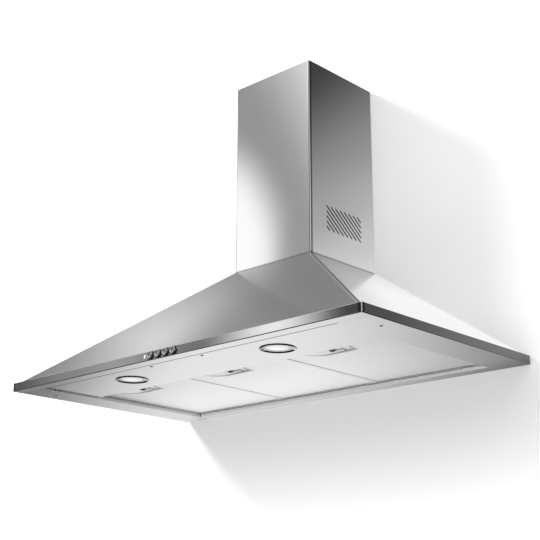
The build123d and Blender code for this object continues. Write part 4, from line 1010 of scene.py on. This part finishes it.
def emission(tree, level):
    return tree.value("Emission", {"Color": grey(1.0), "Strength": level})


def matt_paint(tree, colour, glow):
    """Matt paint with a light of its own."""
    matt = tree.value("BsdfDiffuse", {"Color": colour})
    return tree.value("AddShader", {0: emission(tree, glow), 1: matt})


def below_in_metal(tree, x, z):
    """Wall below the hood: bright in the middle, fading to both sides, dimmer close under the rear edge."""
    left = tree.spread(tree.line(z, 0.93, x), 0.27, 1.0, -1.44, -0.68)
    right = tree.spread(x, 1.0, 0.05, -0.17, 0.72)
    rear = tree.times(tree.spread(z, 0.0, 0.30, -0.198, -0.176), tree.rise(x, -0.46, -0.40))
    middle = tree.minus(1.09, rear)
    return tree.times(left, right, middle, tree.spread(z, 0.03, 1.0, -0.50, -0.38))


def beside_in_metal(tree, x, z):
    """Wall right of the chimney: bright low down, dark higher up and past the end of the hood."""
    climb = tree.spread(tree.line(x, 0.27, z), 0.515, 0.075, 0.30, 0.68)
    beside = tree.plus(climb, tree.spread(z, 0.58, 0.0, 0.05, 0.23))
    knee = tree.times(tree.spread(z, 0.0, 0.2, 0.10, 0.19), tree.fall(z, 0.20, 0.36))
    beside = tree.line(knee, tree.spread(x, 1.0, 0.4, 0.10, 0.26), beside)
    hood_end = tree.spread(x, 1.0, 0.27, 0.42, 0.46)
    return tree.times(beside, hood_end, tree.spread(x, 1.0, 0.35, 0.46, 0.83))


def upper_left_in_metal(tree, x, z):
    """Wall at the upper left: a pale patch that leans away from the chimney."""
    lean = tree.line(z, 2.39, x)
    patch = tree.times(tree.rise(lean, -0.33, 0.70), tree.fall(lean, 0.40, 0.81))
    ground = tree.spread(x, 0.37, 0.29, -0.62, -0.40)
    patch = tree.line(patch, tree.spread(x, 0.825, 0.153, -1.05, -0.40), ground)
    return tree.times(patch, tree.spread(x, 0.66, 1.0, -1.55, -0.85))


def make_wall(settings):
    """White wall behind the hood: matt paint that takes the shadow, with a little light of its own."""
    material = bpy.data.materials.new("wall_paint")
    tree = empty_tree(material)
    x, _, z = tree.axes(tree.place())
    # Painted shade: the wall inside the chimney is dark.
    inside = tree.times(
        tree.below(tree.math("ABSOLUTE", x), 0.101),
        tree.above(z, CHIMNEY_FOOT),
        tree.below(z, CAD_HIGH.z),
    )
    lit = tree.rest(tree.times(inside, 0.97))
    # Painted shade: the wall's own glow is lowest just under the hood and higher above it and further down,
    # which shapes how the shadow under the hood fades.
    glow = tree.plus(
        tree.spread(z, 0.17, settings.shade_level, -0.19, -0.05),
        tree.spread(z, 0.33, 0.0, -0.52, -0.22),
    )
    plain = matt_paint(tree, tree.times(settings.wall_albedo, lit), tree.times(glow, lit))
    # Metal sees lights on the wall that the camera doesn't.
    right = tree.rise(x, -0.30, 0.05)
    above = tree.blend(right, upper_left_in_metal(tree, x, z), beside_in_metal(tree, x, z))
    level = tree.blend(tree.rise(z, *UNDER_AND_ABOVE), below_in_metal(tree, x, z), above)
    level = tree.value("SeparateColor", {0: level})
    mirrored = emission(tree, tree.times(level, lit))
    glossy = tree.put("LightPath").outputs["Is Glossy Ray"]
    one_sided(tree, tree.either(glossy, plain, mirrored))
    low = settings.floor_height
    places = ((-WALL_HALF, low), (WALL_HALF, low), (WALL_HALF, WALL_TOP), (-WALL_HALF, WALL_TOP))
    wall = plane("wall", [(side, WALL_GAP, height) for side, height in places], material)
    wall.visible_diffuse = False
    wall.visible_shadow = False


def make_floor(settings):
    """Pale floor, deeper grey where metal mirrors it."""
    material = bpy.data.materials.new("floor_paint")
    tree = empty_tree(material)
    plain = matt_paint(tree, grey(0.6), 0.45)
    depth = tree.axes(tree.place())["Y"]
    mirrored = emission(tree, tree.spread(depth, 0.45, 0.02, -2.6, -1.6))
    glossy = tree.put("LightPath").outputs["Is Glossy Ray"]
    tree.put("OutputMaterial", {"Surface": tree.either(glossy, plain, mirrored)})
    turns = ((-1, -1), (1, -1), (1, 1), (-1, 1))
    corners = [(WALL_HALF * x, WALL_HALF * y, settings.floor_height) for x, y in turns]
    plane("floor", corners, material)


def tall_card(tree, x, z):
    """Tall part, mirrored in the chimney: bright low at the left, dark beyond, paler at the upper right."""
    # Where the bright part ends, on a curve that climbs to the left, and how softly.
    bow = tree.times(z, tree.line(z, 1.482, -1.0))
    past = tree.plus(tree.plus(x, bow), 0.665)
    softness = tree.math("MAXIMUM", tree.line(z, 0.38, -0.02), 0.09)
    edge = tree.math("DIVIDE", past, softness)
    glow = tree.times(tree.spread(edge, 1.12, 0.0, -0.5, 0.5), tree.fall(z, 0.58, 0.85))
    tall = tree.plus(glow, tree.spread(tree.line(z, 0.485, x), 0.46, 1.42, -0.21, 0.22))
    # Far left: the light that the chimney throws on the front slope.
    far = tree.times(tree.spread(x, 0.75, 0.0, -0.88, -0.72), tree.fall(z, 0.84, 0.92))
    # Right end: mirrored in the chimney's bend, a bright line and then, low down, a dark one.
    dark = tree.math("MAXIMUM", tree.spread(x, 1.0, 0.08, -0.23, -0.18), tree.rise(z, 0.55, 0.80))
    bright = tree.spread(x, 1.0, 1.8, -0.335, -0.300)
    return tree.times(tree.plus(tall, far), dark, bright)


def low_card(tree, x):
    """Low part, mirrored in the band: one bright spot on a darker sheet."""
    along = tree.value("MapRange", {"Value": x, "From Min": -0.9, "From Max": CARD_LOW_RIGHT})
    stops = ((0.05, 0.07), (0.26, 0.19), (0.38, 0.25), (0.60, 0.13), (0.77, 0.66), (0.93, 0.04))
    return tree.times(tree.value("SeparateColor", {0: tree.ramp(along, stops)}), 2.0)


def make_card():
    """Light panel in front at the left, which only the metal sees."""
    material = bpy.data.materials.new("light_card")
    tree = empty_tree(material)
    x, _, z = tree.axes(tree.place())
    upper = tree.rise(z, 0.05, 0.20)
    level = tree.value("Mix", {0: upper, 2: low_card(tree, x), 3: tall_card(tree, x, z)})
    one_sided(tree, emission(tree, level))
    places = ((CARD_LEFT, CARD_LOW), (CARD_LEFT, CARD_TOP), (CARD_RIGHT, CARD_TOP), (CARD_RIGHT, CARD_STEP))
    places += ((CARD_LOW_RIGHT, CARD_STEP), (CARD_LOW_RIGHT, CARD_LOW))
    card = plane("light_card", [(side, CARD_Y, height) for side, height in places], material)
    for kind in ("camera", "diffuse", "transmission", "shadow"):
        setattr(card, f"visible_{kind}", False)


def make_light(name, size, power, place, target):
    """Round lamp that metal doesn't mirror, aimed at a point."""
    light = bpy.data.lights.new(name, "AREA")
    light.shape = "DISK"
    light.size = size
    light.energy = power
    made = add_to_scene(name, light)
    made.location = place
    made.rotation_mode = "QUATERNION"
    made.rotation_quaternion = (Vector(target) - Vector(place)).to_track_quat("-Z", "Y")
    made.visible_glossy = False


def make_lights(settings):
    """Key light at the upper left and a broad fill in front."""
    make_light("key", 0.9, settings.key_power, (-2.6, -1.75, 2.3), (0.0, -0.1, 0.1))
    make_light("fill", 3.0, 30.0, (0.6, -4.0, 0.5), (0.0, 0.0, 0.0))


# Levels of the room around the hood at three heights, by direction from 0 to 1 around it.
RING_LEFT, RING_RIGHT = ((0.25, 0.14),), ((0.73, 0.01), (0.87, 0.01), (0.92, 0.2))
RING_LOW = ((0.41, 0.02), (0.58, 0.02), (0.62, 0.55), (0.69, 0.45))
RING_LEVEL = ((0.43, 0.12), (0.56, 0.10), (0.62, 1.0), (0.67, 0.8), (0.72, 0.01))
RING_RAISED = ((0.43, 0.9), (0.46, 0.4), (0.575, 0.27), (0.70, 0.22))


def studio_ring(tree, turn, height):
    """Brightness of the room for metal, by direction: strips of light between dark screens."""
    low, level, raised = (
        tree.ramp(turn, RING_LEFT + stops + RING_RIGHT) for stops in (RING_LOW, RING_LEVEL, RING_RAISED)
    )
    # From the floor up: where each level starts to show and where only it shows.
    steps = ((-0.10, 0.05, low), (0.28, 0.31, level), (0.32, 0.46, raised), (0.55, 0.85, grey(0.75)))
    ring = grey(0.02)
    for start, end, upper in steps:
        ring = tree.blend(tree.rise(height, start, end), ring, upper)
    return ring


def make_world(scene):
    """White for the camera and through glass, strips of light for metal, and a soft light for the rest."""
    scene.world = bpy.data.worlds.new("studio")
    tree = empty_tree(scene.world)
    x, y, z = tree.axes(tree.put("TexCoord").outputs["Generated"])
    angle = tree.math("ARCTAN2", x, tree.times(y, -1.0))
    ring = studio_ring(tree, tree.line(angle, 0.5 / pi, 0.5), z)
    even = tree.spread(z, 0.30, 0.70, -0.2, 0.9)
    soft = tree.value("Background", {"Color": grey(1.0), "Strength": even})
    strips = tree.value("Background", {"Color": ring, "Strength": 1.4})
    white = tree.value("Background", {"Color": grey(1.0), "Strength": 1.0})
    path = tree.put("LightPath").outputs
    lit = tree.either(path["Is Glossy Ray"], soft, strips)
    clear = tree.math("MAXIMUM", path["Is Camera Ray"], path["Is Transmission Ray"])
    tree.put("OutputWorld", {"Surface": tree.either(clear, lit, white)})


# The photograph's camera, solved together with the hood's shape.
CAMERA_PLACE = Vector((1.482374, -1.804677, -0.633811))
CAMERA_AZIMUTH, CAMERA_ELEVATION, CAMERA_ROLL = radians(42.866), radians(-17.471), radians(0.065)
CAMERA_LENS, CAMERA_SENSOR = 76.26, 36.0


def make_camera(scene):
    """Camera at the photograph's place: right of the hood, below it, looking up."""
    level = Vector((sin(CAMERA_AZIMUTH), -cos(CAMERA_AZIMUTH), 0.0)) * cos(CAMERA_ELEVATION)
    back = level + Vector((0.0, 0.0, sin(CAMERA_ELEVATION)))
    right = Vector((cos(CAMERA_AZIMUTH), sin(CAMERA_AZIMUTH), 0.0))
    across = right * cos(CAMERA_ROLL) + back.cross(right) * sin(CAMERA_ROLL)
    data = bpy.data.cameras.new("camera")
    data.lens = CAMERA_LENS
    data.sensor_width = CAMERA_SENSOR
    data.clip_start = 0.05
    data.clip_end = 50.0
    camera = add_to_scene("camera", data)
    turn = Matrix((across, back.cross(across), back)).transposed()
    camera.matrix_world = Matrix.Translation(CAMERA_PLACE) @ turn.to_4x4()
    scene.camera = camera


class HOOD_PT_panel(Panel):
    """Sizes, colours and makers of the hood"""

    bl_label = "Range hood"
    bl_idname = "HOOD_PT_panel"
    bl_space_type = "VIEW_3D"
    bl_region_type = "UI"
    bl_category = "Range hood"

    def draw(self, context):
        layout = self.layout
        for label, settings, _ in GROUPS:
            box = layout.box()
            box.label(text=label)
            group = getattr(context.scene, settings)
            for key in group.bl_rna.properties.keys():
                if key not in ("rna_type", "name"):
                    box.prop(group, key)
        for maker in MAKERS:
            layout.operator(maker.bl_idname)


GROUPS = (
    ("Steel", "hood_steel", HoodSteel),
    ("Lamps", "hood_lamps", HoodLamps),
    ("Controls", "hood_controls", HoodControls),
    ("Screws", "hood_screws", HoodScrews),
    ("Stage", "hood_stage", HoodStage),
)
MAKERS = (HOOD_OT_finishes, HOOD_OT_lamps, HOOD_OT_buttons, HOOD_OT_screws, HOOD_OT_stage)


def register():
    for _, name, group in GROUPS:
        bpy.utils.register_class(group)
        setattr(bpy.types.Scene, name, PointerProperty(type=group))
    for maker in MAKERS:
        bpy.utils.register_class(maker)
    bpy.utils.register_class(HOOD_PT_panel)


def unregister():
    bpy.utils.unregister_class(HOOD_PT_panel)
    for maker in reversed(MAKERS):
        bpy.utils.unregister_class(maker)
    for _, name, group in reversed(GROUPS):
        delattr(bpy.types.Scene, name)
        bpy.utils.unregister_class(group)


def main():
    register()
    bpy.ops.hood.finishes()
    bpy.ops.hood.lamps()
    bpy.ops.hood.buttons()
    bpy.ops.hood.screws()
    bpy.ops.hood.stage()


if __name__ == "__main__":
    main()
